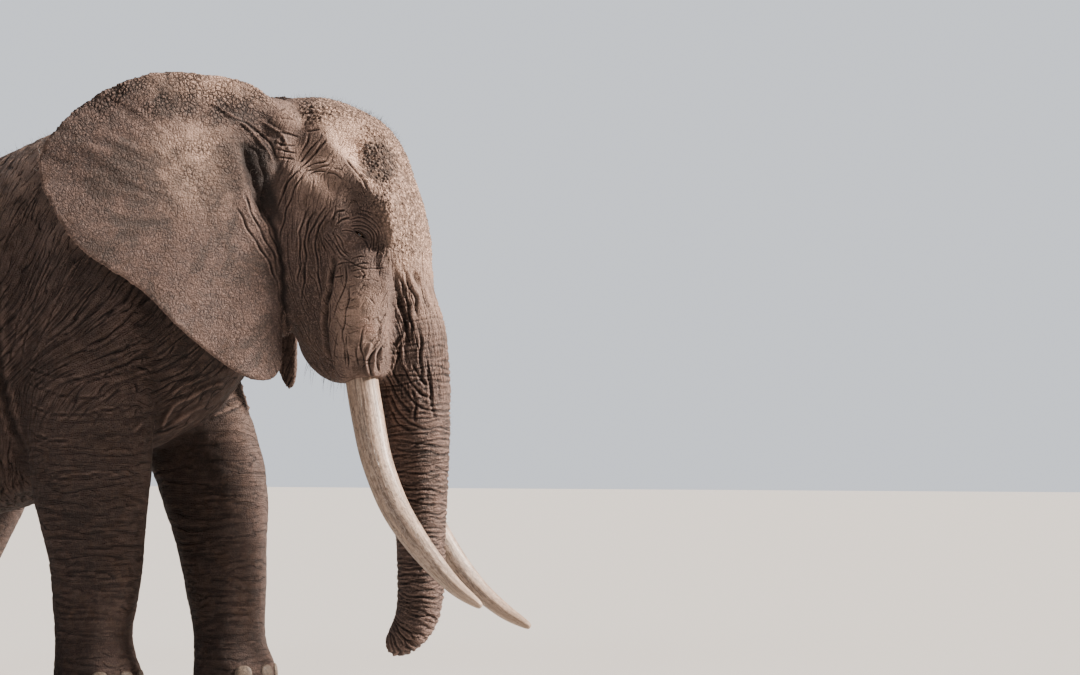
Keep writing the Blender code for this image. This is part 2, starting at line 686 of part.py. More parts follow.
def tear(ear, side, front, end, rear, top):
    """Cut a narrow wedge out of the ear's lower edge."""
    low = EAR_FOOT - 0.12
    corners = ((front, low), (end, top), (rear, low))
    mesh = bmesh.new()
    near = [mesh.verts.new(ear_point(side, x, z, -TEAR_REACH)) for x, z in corners]
    far = [mesh.verts.new(ear_point(side, x, z, TEAR_REACH)) for x, z in corners]
    mesh.faces.new(near)
    mesh.faces.new(far)
    for index in range(len(corners)):
        nxt = (index + 1) % len(corners)
        mesh.faces.new((near[index], near[nxt], far[nxt], far[index]))
    bmesh.ops.recalc_face_normals(mesh, faces=mesh.faces)
    wedge = object_from(mesh, "tear_cut")
    wedge.hide_render = True
    wedge.display_type = "WIRE"
    boolean(ear, wedge, "DIFFERENCE")
    bpy.data.objects.remove(wedge, do_unlink=True)
    keep_largest(ear)


def surface_from_side(body, x, height, sign):
    """The point where a level line from the side first meets the body, in the head's frame."""
    tree = BVHTree.FromObject(body, bpy.context.evaluated_depsgraph_get())
    frame = head_frame()
    start = frame @ Vector((x, sign * 2.0, height))
    direction = frame.to_3x3() @ Vector((0, -sign, 0))
    place, normal, _, _ = tree.ray_cast(start, direction)
    return place, normal


def ball(name, place, radius, rings=6, around=10, stretch=(1, 1, 1), frame=None):
    mesh = bmesh.new()
    bmesh.ops.create_uvsphere(mesh, u_segments=around, v_segments=rings, radius=radius)
    for vertex in mesh.verts:
        vertex.co = Vector([vertex.co[i] * stretch[i] for i in range(3)])
    item = object_from(mesh, name)
    if frame is not None:
        item.data.transform(frame)
    item.data.transform(Matrix.Translation(place))
    return item


def make_eye(body, side):
    sign = 1 if side == "left" else -1
    place, normal = surface_from_side(body, EYE_PLACE[0], EYE_PLACE[1], sign)
    return ball("eye_" + side, place - normal * EYE_RADIUS * EYE_SUNK, EYE_RADIUS)


def make_tail():
    """The hanging tail and its flat brush of bristles, as two solids."""
    rows = [(x, z, radius, radius) for (x, z), radius in zip(TAIL, TAIL_RADII)]
    rows = smooth_rows(rows, 1)
    rings = []
    tangents = np.gradient(rows[:, :2], axis=0)
    sideways = Vector((0, 1, 0))
    for (x, z, radius, _), tangent in zip(rows, tangents):
        depth = sideways.cross(Vector((tangent[0], 0, tangent[1])).normalized())
        rings.append(round_ring(Vector((x, 0, z)), sideways * radius, depth * radius, TAIL_SIDES))
    tail = skin_rings("tail", rings)
    x, z = TAIL[-1]
    tuft_rings = []
    for share, wide in TUFT_PROFILE:
        centre = Vector((x, 0, z - GAP * 2 - share * TUFT_LENGTH))
        depth = Vector((TUFT_HALF[0] * wide, 0, 0))
        tuft_rings.append(round_ring(centre, sideways * TUFT_HALF[1] * wide, depth, TAIL_SIDES))
    return tail, skin_rings("tail_tuft", tuft_rings)


def make_nail(foot, name, kind, x, y, angle):
    """A domed nail set on the front of a foot, trimmed to the foot's own curve."""
    tree = BVHTree.FromObject(foot, bpy.context.evaluated_depsgraph_get())
    outward = Vector((math.cos(angle), math.sin(angle), 0))
    start = Vector((x, y, NAIL_HEIGHT)) + outward
    place, _, _, _ = tree.ray_cast(start, -outward)
    turn = Matrix.Rotation(angle, 4, "Z")
    nail = ball(name, place, 1.0, rings=4, around=8, stretch=NAIL_SIZE[kind], frame=turn)
    cut_clear(nail, [foot])
    return nail


# ---- putting it together ----

def part_body(body):
    """Part the body with thin cuts into its named nodes; what is left at the end is the barrel."""
    head = head_frame()
    nodes = {}

    def take(name, low, high, frame=None):
        nodes[name] = part_off(body, name, low, high, frame)

    ground = box_between("ground_cut", *GROUND_BOX)
    boolean(body, ground, "DIFFERENCE")
    bpy.data.objects.remove(ground, do_unlink=True)
    for name, (back, front, low, high) in LEG_BOXES.items():
        sign = 1 if name.endswith("left") else -1
        inner, outer = sorted((sign * LEG_INNER, sign * LEG_OUTER))
        take(name, (back, inner, low), (front, outer, high))
    for name, (low, high) in HEAD_BOXES.items():
        take(name, low, high, head)
    for name, (low, high) in BODY_BOXES.items():
        take(name, low, high)
    keep_largest(body)
    body.name = "barrel"
    nodes["barrel"] = body
    return nodes


def finish_node(item, kind):
    """Give a node its material and shade it smooth, with its cut edges left sharp."""
    item.data.materials.clear()
    item.data.materials.append(make_material(item.name + "_" + kind, kind))
    item.data.shade_smooth()
    item.data.set_sharp_from_angle(angle=SHARP_ANGLE)


def settle_origin(items):
    """Shift every node so that the box of the whole animal is centred on the origin, soles on Z = 0."""
    corners = [item.matrix_world @ Vector(corner) for item in items for corner in item.bound_box]
    middle = Vector((
        (min(c.x for c in corners) + max(c.x for c in corners)) / 2,
        (min(c.y for c in corners) + max(c.y for c in corners)) / 2,
        min(c.z for c in corners),
    ))
    for item in items:
        item.data.transform(Matrix.Translation(-middle))


def main():
    clear_scene()
    body = make_body()
    nodes = {}
    for side in ("left", "right"):
        ear = make_ear(side)
        cut_clear(ear, [body])
        nodes["ear_" + side] = ear
    tail, tuft = make_tail()
    cut_clear(tail, [body])
    cut_clear(tuft, [tail])
    nodes["tail"] = tail
    nodes["tail_tuft"] = tuft
    for side in ("left", "right"):
        eye = make_eye(body, side)
        tusk = make_tusk(side)
        for item in (eye, tusk):
            seat = grown(item, "seat_cut")
            boolean(body, seat, "DIFFERENCE")
            bpy.data.objects.remove(seat, do_unlink=True)
            nodes[item.name] = item
    nodes.update(part_body(body))
    for kind, angles in NAILS.items():
        for side, sign in (("left", 1), ("right", -1)):
            foot = nodes[f"{FEET[kind]}_{side}"]
            x = LEG_AXES[f"{kind}_{side}"][-1]
            for number, angle in enumerate(angles, start=1):
                name = f"nail_{kind}_{side}_{number}"
                nodes[name] = make_nail(foot, name, kind, x, sign * HALF_STANCE, math.radians(-sign * angle))
    kinds = {"ear": "ear", "eye": "eye", "tusk": "ivory", "nail": "horn", "tail_tuft": "hair"}
    for name, item in nodes.items():
        kind = next((value for key, value in kinds.items() if name.startswith(key)), "hide")
        finish_node(item, kind)
    settle_origin(list(nodes.values()))


main()
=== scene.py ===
import math
import bmesh
import bpy
import numpy as np
from mathutils import Matrix, Vector


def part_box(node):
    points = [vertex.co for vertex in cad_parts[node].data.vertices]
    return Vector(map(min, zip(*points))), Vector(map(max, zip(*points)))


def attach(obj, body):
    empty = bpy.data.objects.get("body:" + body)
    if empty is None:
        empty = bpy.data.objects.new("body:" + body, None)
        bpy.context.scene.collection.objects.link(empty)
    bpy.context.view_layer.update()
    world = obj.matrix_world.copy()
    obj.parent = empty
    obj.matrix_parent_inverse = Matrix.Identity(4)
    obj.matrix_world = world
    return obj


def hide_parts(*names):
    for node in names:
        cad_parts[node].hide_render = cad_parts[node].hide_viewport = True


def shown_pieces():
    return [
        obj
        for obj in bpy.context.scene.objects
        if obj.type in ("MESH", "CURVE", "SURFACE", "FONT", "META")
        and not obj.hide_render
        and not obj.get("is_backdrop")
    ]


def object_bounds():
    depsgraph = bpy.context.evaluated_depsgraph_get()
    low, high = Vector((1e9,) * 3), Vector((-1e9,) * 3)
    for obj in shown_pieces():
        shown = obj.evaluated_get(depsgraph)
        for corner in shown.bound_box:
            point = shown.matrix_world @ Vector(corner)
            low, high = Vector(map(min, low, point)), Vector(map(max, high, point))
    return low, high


# A life-size elephant bull. Metres; the body faces +X, its left is +Y and the soles stand on Z = 0.
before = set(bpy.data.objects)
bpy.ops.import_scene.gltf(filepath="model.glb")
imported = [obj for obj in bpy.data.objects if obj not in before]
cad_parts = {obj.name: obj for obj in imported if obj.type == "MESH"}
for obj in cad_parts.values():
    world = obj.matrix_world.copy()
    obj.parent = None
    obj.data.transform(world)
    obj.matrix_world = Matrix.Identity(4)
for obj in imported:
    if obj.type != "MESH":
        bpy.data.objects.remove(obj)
cadLow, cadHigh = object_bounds()
sideNames = {1: "left", -1: "right"}
ahead, leftward, upward = np.eye(3)


def report(stage):
    print("elephant:", stage)


# Tables are drawn round the midline; the tuft's box in the frame says how far they shift.
tuftX = -2.50
tuftLow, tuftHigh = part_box("tail_tuft")
bodyShift = np.array([(tuftLow.x + tuftHigh.x) / 2 - tuftX, (tuftLow.y + tuftHigh.y) / 2, 0.0])
# The head has a frame of its own, turned a little to the left about an upright line in the neck.
headPivot, headTurn = 0.75, math.radians(8.0)
turnCos, turnSin = math.cos(headTurn), math.sin(headTurn)

def headToBody(points):
    points = np.asarray(points, float)
    x, y = points[..., 0] - headPivot, points[..., 1]
    return np.stack([headPivot + x * turnCos - y * turnSin, x * turnSin + y * turnCos, points[..., 2]], -1)


def bodyToHead(points):
    x, y = points[..., 0] - headPivot, points[..., 1]
    return np.stack([headPivot + x * turnCos + y * turnSin, -x * turnSin + y * turnCos, points[..., 2]], -1)


def smoothRows(rows, steps):
    rows = np.array(rows, float)
    padded = np.vstack([2 * rows[0] - rows[1], rows, 2 * rows[-1] - rows[-2]])
    result = []
    for i in range(len(rows) - 1):
        a, b, c, d = padded[i:i + 4]
        for t in np.arange(steps) / steps:
            result.append(0.5 * (2 * b + (c - a) * t + (2 * a - 5 * b + 4 * c - d) * t ** 2
                                 + (3 * b - a - 3 * c + d) * t ** 3))
    return np.array(result + [rows[-1]])


def ramp(value, start, end):
    t = np.clip((value - start) / (end - start), 0, 1)
    return t * t * (3 - 2 * t)


def unit(vectors):
    return vectors / np.maximum(np.linalg.norm(vectors, axis=-1, keepdims=True), 1e-9)


def distances(line):        # along a line, from its start to each of its points
    return np.concatenate([[0], np.cumsum(np.linalg.norm(np.diff(line, axis=0), axis=1))])


def soft(*rows):        # a soft spot, 1 at its middle: rows of value, middle and reach
    return np.exp(-sum(((rows[i] - rows[i + 1]) / rows[i + 2]) ** 2 for i in range(0, len(rows), 3)))


def newObject(name, data):
    thing = bpy.data.objects.new(name, data)
    bpy.context.scene.collection.objects.link(thing)
    return thing


def meshObject(name, points, faces):
    mesh = bpy.data.meshes.new(name)
    mesh.from_pydata(np.asarray(points, float).tolist(), [], faces)
    return newObject(name, mesh)


def plainObject(name, create, **options):       # create is one of bmesh's own shapes
    mesh = bmesh.new()
    create(mesh, **options)
    data = bpy.data.meshes.new(name)
    mesh.to_mesh(data)
    mesh.free()
    return newObject(name, data)


def readRows(layer, key, kind=np.float32, width=3):
    flat = np.empty(len(layer) * width, kind)
    layer.foreach_get(key, flat)
    return flat.reshape(-1, width)


def readPoints(mesh):
    return readRows(mesh.vertices, "co").astype(float)


def readNormals(mesh):
    return readRows(mesh.vertex_normals, "vector").astype(float)


def readEdges(mesh):
    return readRows(mesh.edges, "vertices", np.int32, 2)


def writePoints(mesh, points):
    mesh.vertices.foreach_set("co", points.astype(np.float32).ravel())
    mesh.update()


def averager(mesh):     # gives a function that averages values over each vertex's neighbours
    edges, total = readEdges(mesh), len(mesh.vertices)
    count = np.bincount(edges.ravel(), minlength=total).clip(1)[:, None]

    def neighbours(values):
        return np.stack([np.bincount(edges[:, 0], values[edges[:, 1], k], total)
                         + np.bincount(edges[:, 1], values[edges[:, 0], k], total)
                         for k in range(values.shape[1])], 1) / count
    return neighbours


def store(mesh, name, values):
    values = np.asarray(values, np.float32)
    kind, key = ("FLOAT_VECTOR", "vector") if values.ndim == 2 else ("FLOAT", "value")
    layer = mesh.attributes.get(name) or mesh.attributes.new(name, kind, "POINT")
    layer.data.foreach_set(key, values.ravel())


def bake(thing, kind=None, **settings):     # makes a modifier's result the object's own mesh
    if kind:
        modifier = thing.modifiers.new(kind.title(), kind)
        for key, value in settings.items():
            setattr(modifier, key, value)
    graph = bpy.context.evaluated_depsgraph_get()
    mesh = bpy.data.meshes.new_from_object(thing.evaluated_get(graph))
    thing.modifiers.clear()
    old, thing.data = thing.data, mesh
    bpy.data.meshes.remove(old)


def joinParts(name, parts):     # parts are (points, faces) pairs
    points, faces, start = [], [], 0
    for partPoints, partFaces in parts:
        points.append(np.asarray(partPoints, float))
        faces += [tuple(start + i for i in face) for face in partFaces]
        start += len(partPoints)
    return meshObject(name, np.vstack(points), faces)


def relax(mesh, points, weight, rounds):        # draws points towards the middle of their neighbours
    neighbours = averager(mesh)
    for _ in range(rounds):
        points = points + .8 * weight * (neighbours(points) - points)
    return points


def ringFaces(a, b, count):     # quads between two rings of points that start at a and b
    return [(a + i, a + (i + 1) % count, b + (i + 1) % count, b + i) for i in range(count)]


def loft(rings):        # equal rings bridged and closed at both ends
    count = len(rings[0])
    faces = [tuple(range(count))[::-1], tuple((len(rings) - 1) * count + i for i in range(count))]
    for row in range(len(rings) - 1):
        faces += ringFaces(row * count, (row + 1) * count, count)
    return np.vstack(rings), faces


def power(values, square):
    return np.sign(values) * np.abs(values) ** (2.0 / square)


def section(centre, side, up, halfSide, halfUp, halfDown, squareUp=2.2, squareDown=2.2, count=40):
    angle = np.arange(count) * math.tau / count
    above = np.sin(angle) >= 0
    square = np.where(above, squareUp, squareDown)
    across = halfSide * power(np.cos(angle), square)
    over = np.where(above, halfUp, halfDown) * power(np.sin(angle), square)
    return centre + across[:, None] * side + over[:, None] * up


# Upright sections of the torso: X, top, height of the widest line, bottom, half width.
torso = ((-2.44, 2.36, 2.10, 1.86, .15), (-2.38, 2.57, 2.08, 1.62, .32), (-2.22, 2.80, 2.04, 1.40, .46),
         (-2.00, 2.98, 2.00, 1.24, .56), (-1.75, 3.05, 1.94, 1.10, .63), (-1.45, 3.03, 1.86, .99, .69),
         (-1.12, 3.04, 1.82, .95, .715), (-.80, 3.15, 1.86, 1.01, .695), (-.45, 3.28, 1.98, 1.14, .62),
         (-.10, 3.32, 2.12, 1.30, .545), (.25, 3.28, 2.22, 1.44, .48), (.50, 3.22, 2.32, 1.60, .40),
         (.70, 3.12, 2.40, 1.84, .28), (.80, 2.96, 2.46, 2.04, .14))
# The neck: X, Y, top, widest line, bottom, half width.
neck = ((.10, 0, 3.22, 2.50, 1.60, .45), (.45, 0, 3.25, 2.55, 1.76, .45), (.80, .01, 3.28, 2.60, 1.96, .41),
        (1.05, .04, 3.31, 2.65, 2.10, .38), (1.25, .07, 3.20, 2.65, 2.24, .26))
# Level sections of the skull in the head's frame: height, front, middle, back, half width, squareness.
skull = ((3.405, 1.20, 1.08, .96, .10, 2.0), (3.36, 1.33, 1.10, .86, .21, 2.1), (3.25, 1.53, 1.13, .74, .305, 2.2),
         (3.10, 1.645, 1.16, .70, .345, 2.3), (2.94, 1.70, 1.17, .70, .375, 2.4), (2.76, 1.76, 1.16, .70, .405, 2.4),
         (2.58, 1.80, 1.15, .72, .42, 2.4), (2.38, 1.80, 1.16, .80, .41, 2.3), (2.20, 1.74, 1.18, .92, .375, 2.2),
         (2.02, 1.62, 1.21, 1.03, .30, 2.1), (1.90, 1.46, 1.24, 1.11, .20, 2.0))
jaw = ((2.40, 1.44, 1.24, 1.02, .33), (2.16, 1.44, 1.24, 1.04, .28), (1.98, 1.43, 1.24, 1.035, .22),
       (1.88, 1.42, 1.27, 1.075, .175), (1.80, 1.40, 1.29, 1.15, .125), (1.752, 1.37, 1.31, 1.24, .065))
# The trunk's centre line and size: X, height, half depth, half width.
trunk = ((1.52, 2.72, .215, .28), (1.554, 2.48, .244, .27), (1.58, 2.24, .252, .25), (1.648, 2.0, .258, .236),
         (1.703, 1.75, .22, .22), (1.733, 1.45, .191, .203), (1.746, 1.15, .166, .182), (1.754, .87, .145, .162),
         (1.756, .64, .138, .15), (1.748, .47, .132, .142), (1.70, .345, .116, .126), (1.625, .27, .094, .108),
         (1.555, .25, .066, .084))
sheath = ((1.50, 2.52, .17, .13), (1.48, 2.28, .195, .145), (1.475, 2.04, .185, .15), (1.475, 1.88, .168, .14),
          (1.49, 1.77, .135, .12))
# Level sections of the legs: height, half depth, half width.
frontLeg = ((2.80, .26, .13), (2.45, .38, .20), (2.00, .415, .225), (1.60, .405, .235), (1.30, .385, .23),
            (1.06, .352, .222), (.86, .305, .222), (.70, .277, .225), (.50, .25, .222), (.34, .226, .212),
            (.22, .226, .216), (.10, .252, .242), (-.06, .266, .256))
hindLeg = ((2.60, .34, .22), (2.20, .48, .26), (1.80, .50, .27), (1.40, .43, .25), (1.10, .34, .22),
           (.82, .262, .20), (.52, .212, .188), (.32, .192, .18), (.20, .198, .184), (.09, .226, .20),
           (-.06, .238, .208))
# Each leg: its sections, side, slimness, X of its axis and share of the half stance, top to sole.
frontSpread = (.90, 1.10, 1.17, 1.14, 1.08, 1.03, 1, 1, 1, 1, 1, 1, 1)
hindSpread = (.95, 1.10, 1.16, 1.14, 1.08, 1.04, 1, 1, 1, 1, 1)
legs = {
    "frontRight": (frontLeg, -1, 1.0, (-.10, -.12, -.12, -.11, -.105, -.105, -.09, -.075, -.08, -.09, -.085, -.065,
                                       -.055), frontSpread),
    "frontLeft": (frontLeg, 1, .94, (-.10, -.08, 0, .14, .265, .335, .372, .395, .415, .43, .442, .465, .478),
                  frontSpread),
    "hindRight": (hindLeg, -1, 1.0, (-1.80, -1.83, -1.82, -1.76, -1.72, -1.80, -1.91, -1.92, -1.90, -1.875, -1.865),
                  hindSpread),
    "hindLeft": (hindLeg, 1, 1.0, (-1.80, -1.80, -1.70, -1.46, -1.28, -1.33, -1.42, -1.43, -1.41, -1.385, -1.375),
                 hindSpread),
}
halfStance, sheathOut = .36, .275      # of the legs and of the tusks' sheaths
bodyBlend = {"cell": 0.026, "rounds": 7, "thighTop": 2.60, "thighRounds": 40}
# Swellings and hollows, on both sides: frame, place, reach, height.
relief = (
    ("head", (1.44, .32, 3.06), (.15, .20, .13), -.050), ("head", (1.22, .40, 2.93), (.26, .16, .10), .040),
    ("head", (1.62, .30, 2.72), (.10, .16, .16), .035), ("head", (1.50, .36, 2.555), (.085, .14, .125), -.030),
    ("head", (1.02, .38, 2.98), (.10, .18, .26), .035), ("head", (1.24, .34, 2.30), (.07, .16, .30), -.030),
    ("head", (1.64, .28, 2.30), (.06, .14, .22), -.025), ("body", (-.20, .50, 2.55), (.16, .30, .45), .035),
    ("body", (.28, .50, 2.10), (.14, .30, .28), .030), ("body", (-.52, .60, 1.75), (.12, .35, .50), -.040),
    ("body", (-1.78, .52, 2.72), (.22, .30, .16), .045), ("body", (-1.45, .66, 2.20), (.20, .30, .40), -.045),
    ("body", (-2.10, .48, 2.35), (.18, .30, .22), -.020),
)


def upright(rows, squares):
    return loft([section(np.array([x, y, wide]), leftward, upward, half, top - wide, wide - low, *squares)
                 for x, y, top, wide, low, half in smoothRows(rows, 5)])


def level(rows):
    return loft([section(np.array([mid, 0, z]), leftward, ahead, half, front - mid, mid - back, square, 2.2)
                 for z, front, mid, back, half, square in smoothRows(rows, 5)])


def swept(rows, y=0.0, steps=5, **shape):       # rows of X, height, half depth and half width
    rows = smoothRows(rows, steps)
    rings = []
    for (x, z, depth, width), (dx, dz) in zip(rows, np.gradient(rows[:, :2], axis=0)):
        over = unit(np.cross(leftward, np.array([dx, 0, dz])))
        rings.append(section(np.array([x, y, z]), leftward, over, width, depth, depth, **shape))
    return loft(rings)


def ofHead(part):       # turns a part drawn in the head's frame
    points, faces = part
    return headToBody(points), faces


def legRows(name):
    sections, side, slim, axis, spread = legs[name]
    return [(z, x, side * halfStance * share, depth * slim, width)
            for (z, depth, width), x, share in zip(sections, axis, spread)]


def legMass(name):
    return loft([section(np.array([x, y, z]), leftward, ahead, width, depth, depth)
                 for z, x, y, depth, width in smoothRows(legRows(name), 5)])


def makeBase():     # the blended masses, soft and without folds
    masses = [upright([(x, 0, *rest) for x, *rest in torso], (1.85, 2.1)), upright(neck, (2.0, 2.2)),
              ofHead(level(skull)), ofHead(level([row + (2.2,) for row in jaw])), ofHead(swept(trunk))]
    masses += [ofHead(swept(sheath, side * sheathOut)) for side in (-1, 1)] + [legMass(name) for name in legs]
    base = joinParts("base", masses)
    bake(base, "REMESH", mode="VOXEL", voxel_size=bodyBlend["cell"])
    bake(base, "SMOOTH", factor=0.5, iterations=bodyBlend["rounds"])
    points, normals = readPoints(base.data), readNormals(base.data)
    inHead, push = bodyToHead(points), np.zeros(len(points))
    for place, spot, reach, height in relief:
        where = inHead if place == "head" else points
        for side in (-1, 1):
            away = (where - np.array(spot) * (1, side, 1)) / np.array(reach)
            push += height * np.exp(-(away ** 2).sum(1))
    points = points + normals * push[:, None]
    x, _, z = points.T
    weight = soft(z, bodyBlend["thighTop"], .09) * ramp(x, -1.2, -1.4) * ramp(x, -2.3, -2.2)
    # No ridge where the thigh ends inside the flank.
    points = relax(base.data, points, weight[:, None], bodyBlend["thighRounds"])
    writePoints(base.data, points)
    bake(base, "SMOOTH", factor=0.5, iterations=2)
    bake(base, "SUBSURF", levels=1)
    mesh = bmesh.new()
    mesh.from_mesh(base.data)
    cut = bmesh.ops.bisect_plane(mesh, geom=mesh.verts[:] + mesh.edges[:] + mesh.faces[:],
                                 plane_co=(0, 0, 0), plane_no=(0, 0, 1), clear_inner=True)
    rim = [edge for edge in cut["geom_cut"] if isinstance(edge, bmesh.types.BMEdge)]
    bmesh.ops.holes_fill(mesh, edges=rim)
    mesh.to_mesh(base.data)
    mesh.free()
    return base


earOutline = ((-.03, 3.33), (.17, 3.46), (.42, 3.495), (.64, 3.495), (.87, 3.43), (1.075, 3.315), (1.24, 3.175),
              (1.335, 3.03), (1.34, 2.88), (1.265, 2.71), (1.10, 2.485), (.76, 2.265), (.52, 2.04), (.21, 1.81),
              (.04, 1.757), (-.05, 1.82), (-.06, 2.0), (-.05, 2.25), (-.03, 2.52), (-.08, 2.90))
# The ear: how finely it is cut, its thickness at root and rim, and how it stands off the head.
earShape = {"rays": 520, "rounds": 84, "middle": (.45, 2.75), "root": .046, "rim": .017, "top": 3.5, "foot": 1.75,
            "rootX": 1.01, "rootY": .36, "depth": 1.34, "swing": math.radians(30), "hollow": .13, "droop": .10,
            "ripple": .010, "ragged": .0022, "torn": .006, "sweep": {1: .20, -1: 0.0}, "drop": {1: .05, -1: 0.0}}
earTears = (((-.085, 1.63), (.10, 1.915), (.42, 1.63)), ((.334, 1.63), (.36, 1.99), (.396, 1.63)))   # left lobe


def earOut(back, height):       # distance from the head's middle plane
    share = (height - earShape["foot"]) / (earShape["top"] - earShape["foot"])
    reach = np.maximum(back, 0) / earShape["depth"]
    hollow = earShape["hollow"] * np.sin(np.minimum(reach, 1) * math.pi) * (.35 + .65 * share)
    droop = earShape["droop"] * np.maximum(0, (2.35 - height) / .60) ** 1.5
    stand = earShape["rootY"] + .05 * (1 - share) + back * math.sin(earShape["swing"])
    return stand + hollow + .07 * reach ** 2 + droop


def earPoint(side, back, height, offset):
    foot = np.maximum(0, 1 - (height - earShape["foot"]) / (earShape["top"] - earShape["foot"]))
    swing = earShape["swing"]
    x = earShape["rootX"] - back * math.cos(swing) - earShape["sweep"][side] * foot + math.sin(swing) * offset
    y = side * (earOut(back, height) + math.cos(swing) * offset)
    return np.stack([x, y, height - earShape["drop"][side] * foot], -1)


def earPlace(side, x, z):       # the inverse: back from the root and height
    span, drop = earShape["top"] - earShape["foot"], earShape["drop"][side]
    height = np.where(z > earShape["top"], z, (z + drop * earShape["top"] / span) / (1 + drop / span))
    foot = np.maximum(0, 1 - (height - earShape["foot"]) / span)
    return (earShape["rootX"] - earShape["sweep"][side] * foot - x) / math.cos(earShape["swing"]), height


def earRipple(side, back, height):      # slack waves of the hanging lobe and rear edge
    low = ramp(height, 2.9, 2.0)
    edge = ramp(back, .5, 1.2)
    waves = np.sin(back * 11 + height * 4 + side) * low + .8 * np.sin(height * 13 - back * 5 + 2 * side) * edge
    return earShape["ripple"] * waves


def inTriangle(points, corners):
    signs = []
    for (ax, az), (bx, bz) in zip(corners, corners[1:] + corners[:1]):
        signs.append((bx - ax) * (points[..., 1] - az) - (bz - az) * (points[..., 0] - ax) > 0)
    return (signs[0] == signs[1]) & (signs[1] == signs[2])


def makeEar(side):
    outline = smoothRows(list(earOutline) + [earOutline[0], earOutline[1]], 24)[:-24]
    middle, rays, rings = np.array(earShape["middle"]), earShape["rays"], earShape["rounds"]
    away = outline - middle
    angle = np.unwrap(np.arctan2(away[:, 1], away[:, 0]))
    order = np.argsort(angle)
    theta = angle.min() + np.arange(rays) * math.tau / rays
    radius = np.interp(theta, angle[order], np.linalg.norm(away, axis=1)[order])
    rng = np.random.default_rng(5 + side)
    jag = sum(rng.uniform(-1, 1) * np.sin(k * theta + rng.uniform(0, 6)) / k ** .6 for k in range(9, 60))
    ragged = earShape["ragged"] + (earShape["torn"] * ramp(np.sin(theta), -.55, -.85) if side == 1 else 0)
    radius *= 1 - ragged * (np.sqrt(jag ** 2 + 1.5) - 1)
    direction = np.stack([np.cos(theta), np.sin(theta)], -1)
    if side == 1:
        steps = np.linspace(.5, 1.3, 500)
        samples = middle + steps[None, :, None] * direction[:, None, :]
        for tear in earTears:
            inside = inTriangle(samples, tear)
            radius = np.minimum(radius, np.where(inside.any(1), steps[inside.argmax(1)], 9))
    share = (np.arange(1, rings + 1) / rings) ** .8
    flat = middle + share[:, None, None] * radius[None, :, None] * direction[None]
    back, height = flat[..., 0], flat[..., 1]
    fade = np.minimum(np.maximum(back, 0) / 1.10, 1) ** .6
    toRim = (1 - share[:, None]) * radius[None]
    half = np.minimum((earShape["root"] + (earShape["rim"] - earShape["root"]) * fade) / 2, .011 + .3 * toRim)
    half = half * np.sqrt(np.clip(toRim / .010, 0, 1)) + .0015
    lift = earRipple(side, back, height)
    layers = [earPoint(side, back, height, lift + sign * half).reshape(-1, 3) for sign in (1, -1)]
    hub = [earPoint(side, *middle, earRipple(side, *middle) + sign * .016) for sign in (1, -1)]
    faces, total = [], rings * rays
    for layer in (0, 1):
        start = layer * total
        for row in range(rings - 1):
            quads = ringFaces(start + row * rays, start + (row + 1) * rays, rays)
            faces += quads if layer else [quad[::-1] for quad in quads]
        for i in range(rays):
            tri = (2 * total + layer, start + (i + 1) % rays, start + i)
            faces.append(tri if layer else tri[::-1])
    faces += ringFaces(total - rays, 2 * total - rays, rays)
    return np.vstack(layers + [hub]), faces


tailLine = ((-2.30, 2.62), (-2.43, 2.60), (-2.515, 2.44), (-2.53, 2.18), (-2.515, 1.85), (-2.50, 1.55), (-2.50, 1.30))
tailRadii = (.085, .085, .066, .050, .038, .030, .024)


def makeTail():
    rows = [(x, z, r, r * .95) for (x, z), r in zip(tailLine, tailRadii)]
    return swept(rows, steps=16, squareUp=2, squareDown=2, count=28)


skinSettings = {"cell": 0.0136, "quickCell": 0.02, "rounds": 2, "eyeReach": .085}
# Flesh that fills the gap between the crown, the cheek and the ear's root: place and reach.
earRoots = (((.97, .30, 3.23), (.16, .15, .105)), ((.90, .22, 3.28), (.20, .18, .112)),
            ((1.00, .33, 3.10), (.10, .10, .14)), ((1.03, .34, 2.60), (.07, .07, .34)),
            ((1.05, .33, 2.25), (.06, .06, .26)))
# Where the ear's root meets the cheek: height and X.
earBorder = ([1.95, 2.15, 2.32, 2.49, 2.63, 2.77, 2.89, 3.01, 3.12, 3.22],
             [1.07, 1.064, 1.053, 1.035, 1.0, .964, .941, .911, .88, .86])
eyeCentres = {side: np.array(sum(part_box("eye_" + name), Vector()) / 2) - bodyShift
              for side, name in sideNames.items()}


def fromEyes(points):       # how far each point is from the nearer eye
    return np.min([np.linalg.norm(points - centre, axis=1) for centre in eyeCentres.values()], axis=0)


def refine(thing, chosen):      # halves the faces whose corners are all chosen
    mesh = bmesh.new()
    mesh.from_mesh(thing.data)
    edges = [edge for edge in mesh.edges if chosen[edge.verts[0].index] and chosen[edge.verts[1].index]]
    bmesh.ops.subdivide_edges(mesh, edges=edges, cuts=1, use_grid_fill=True)
    mesh.to_mesh(thing.data)
    mesh.free()


def blob(centre, reach):        # an egg: reach along X, Y and Z
    rings = []
    for t in np.linspace(.15, math.pi - .15, 17):
        deep, wide, tall = np.array(reach) * (math.sin(t), math.sin(t), math.cos(t))
        rings.append(section(np.array(centre) + (0, 0, tall), leftward, ahead, wide, deep, deep, 2, 2))
    return loft(rings)


def softenRoots(skin):      # smooths the join of ear and cheek before the folds are pressed
    points = readPoints(skin.data)
    x, y, z = bodyToHead(points).T
    weight = soft(x, np.interp(z, *earBorder), .055) * ramp(z, 1.85, 2.0) * ramp(z, 3.40, 3.30) * (np.abs(y) > .2)
    weight = np.maximum(weight, soft(x, .95, .12, z, 3.24, .11) * (np.abs(y) > .12))
    writePoints(skin.data, relax(skin.data, points, weight[:, None], 16))


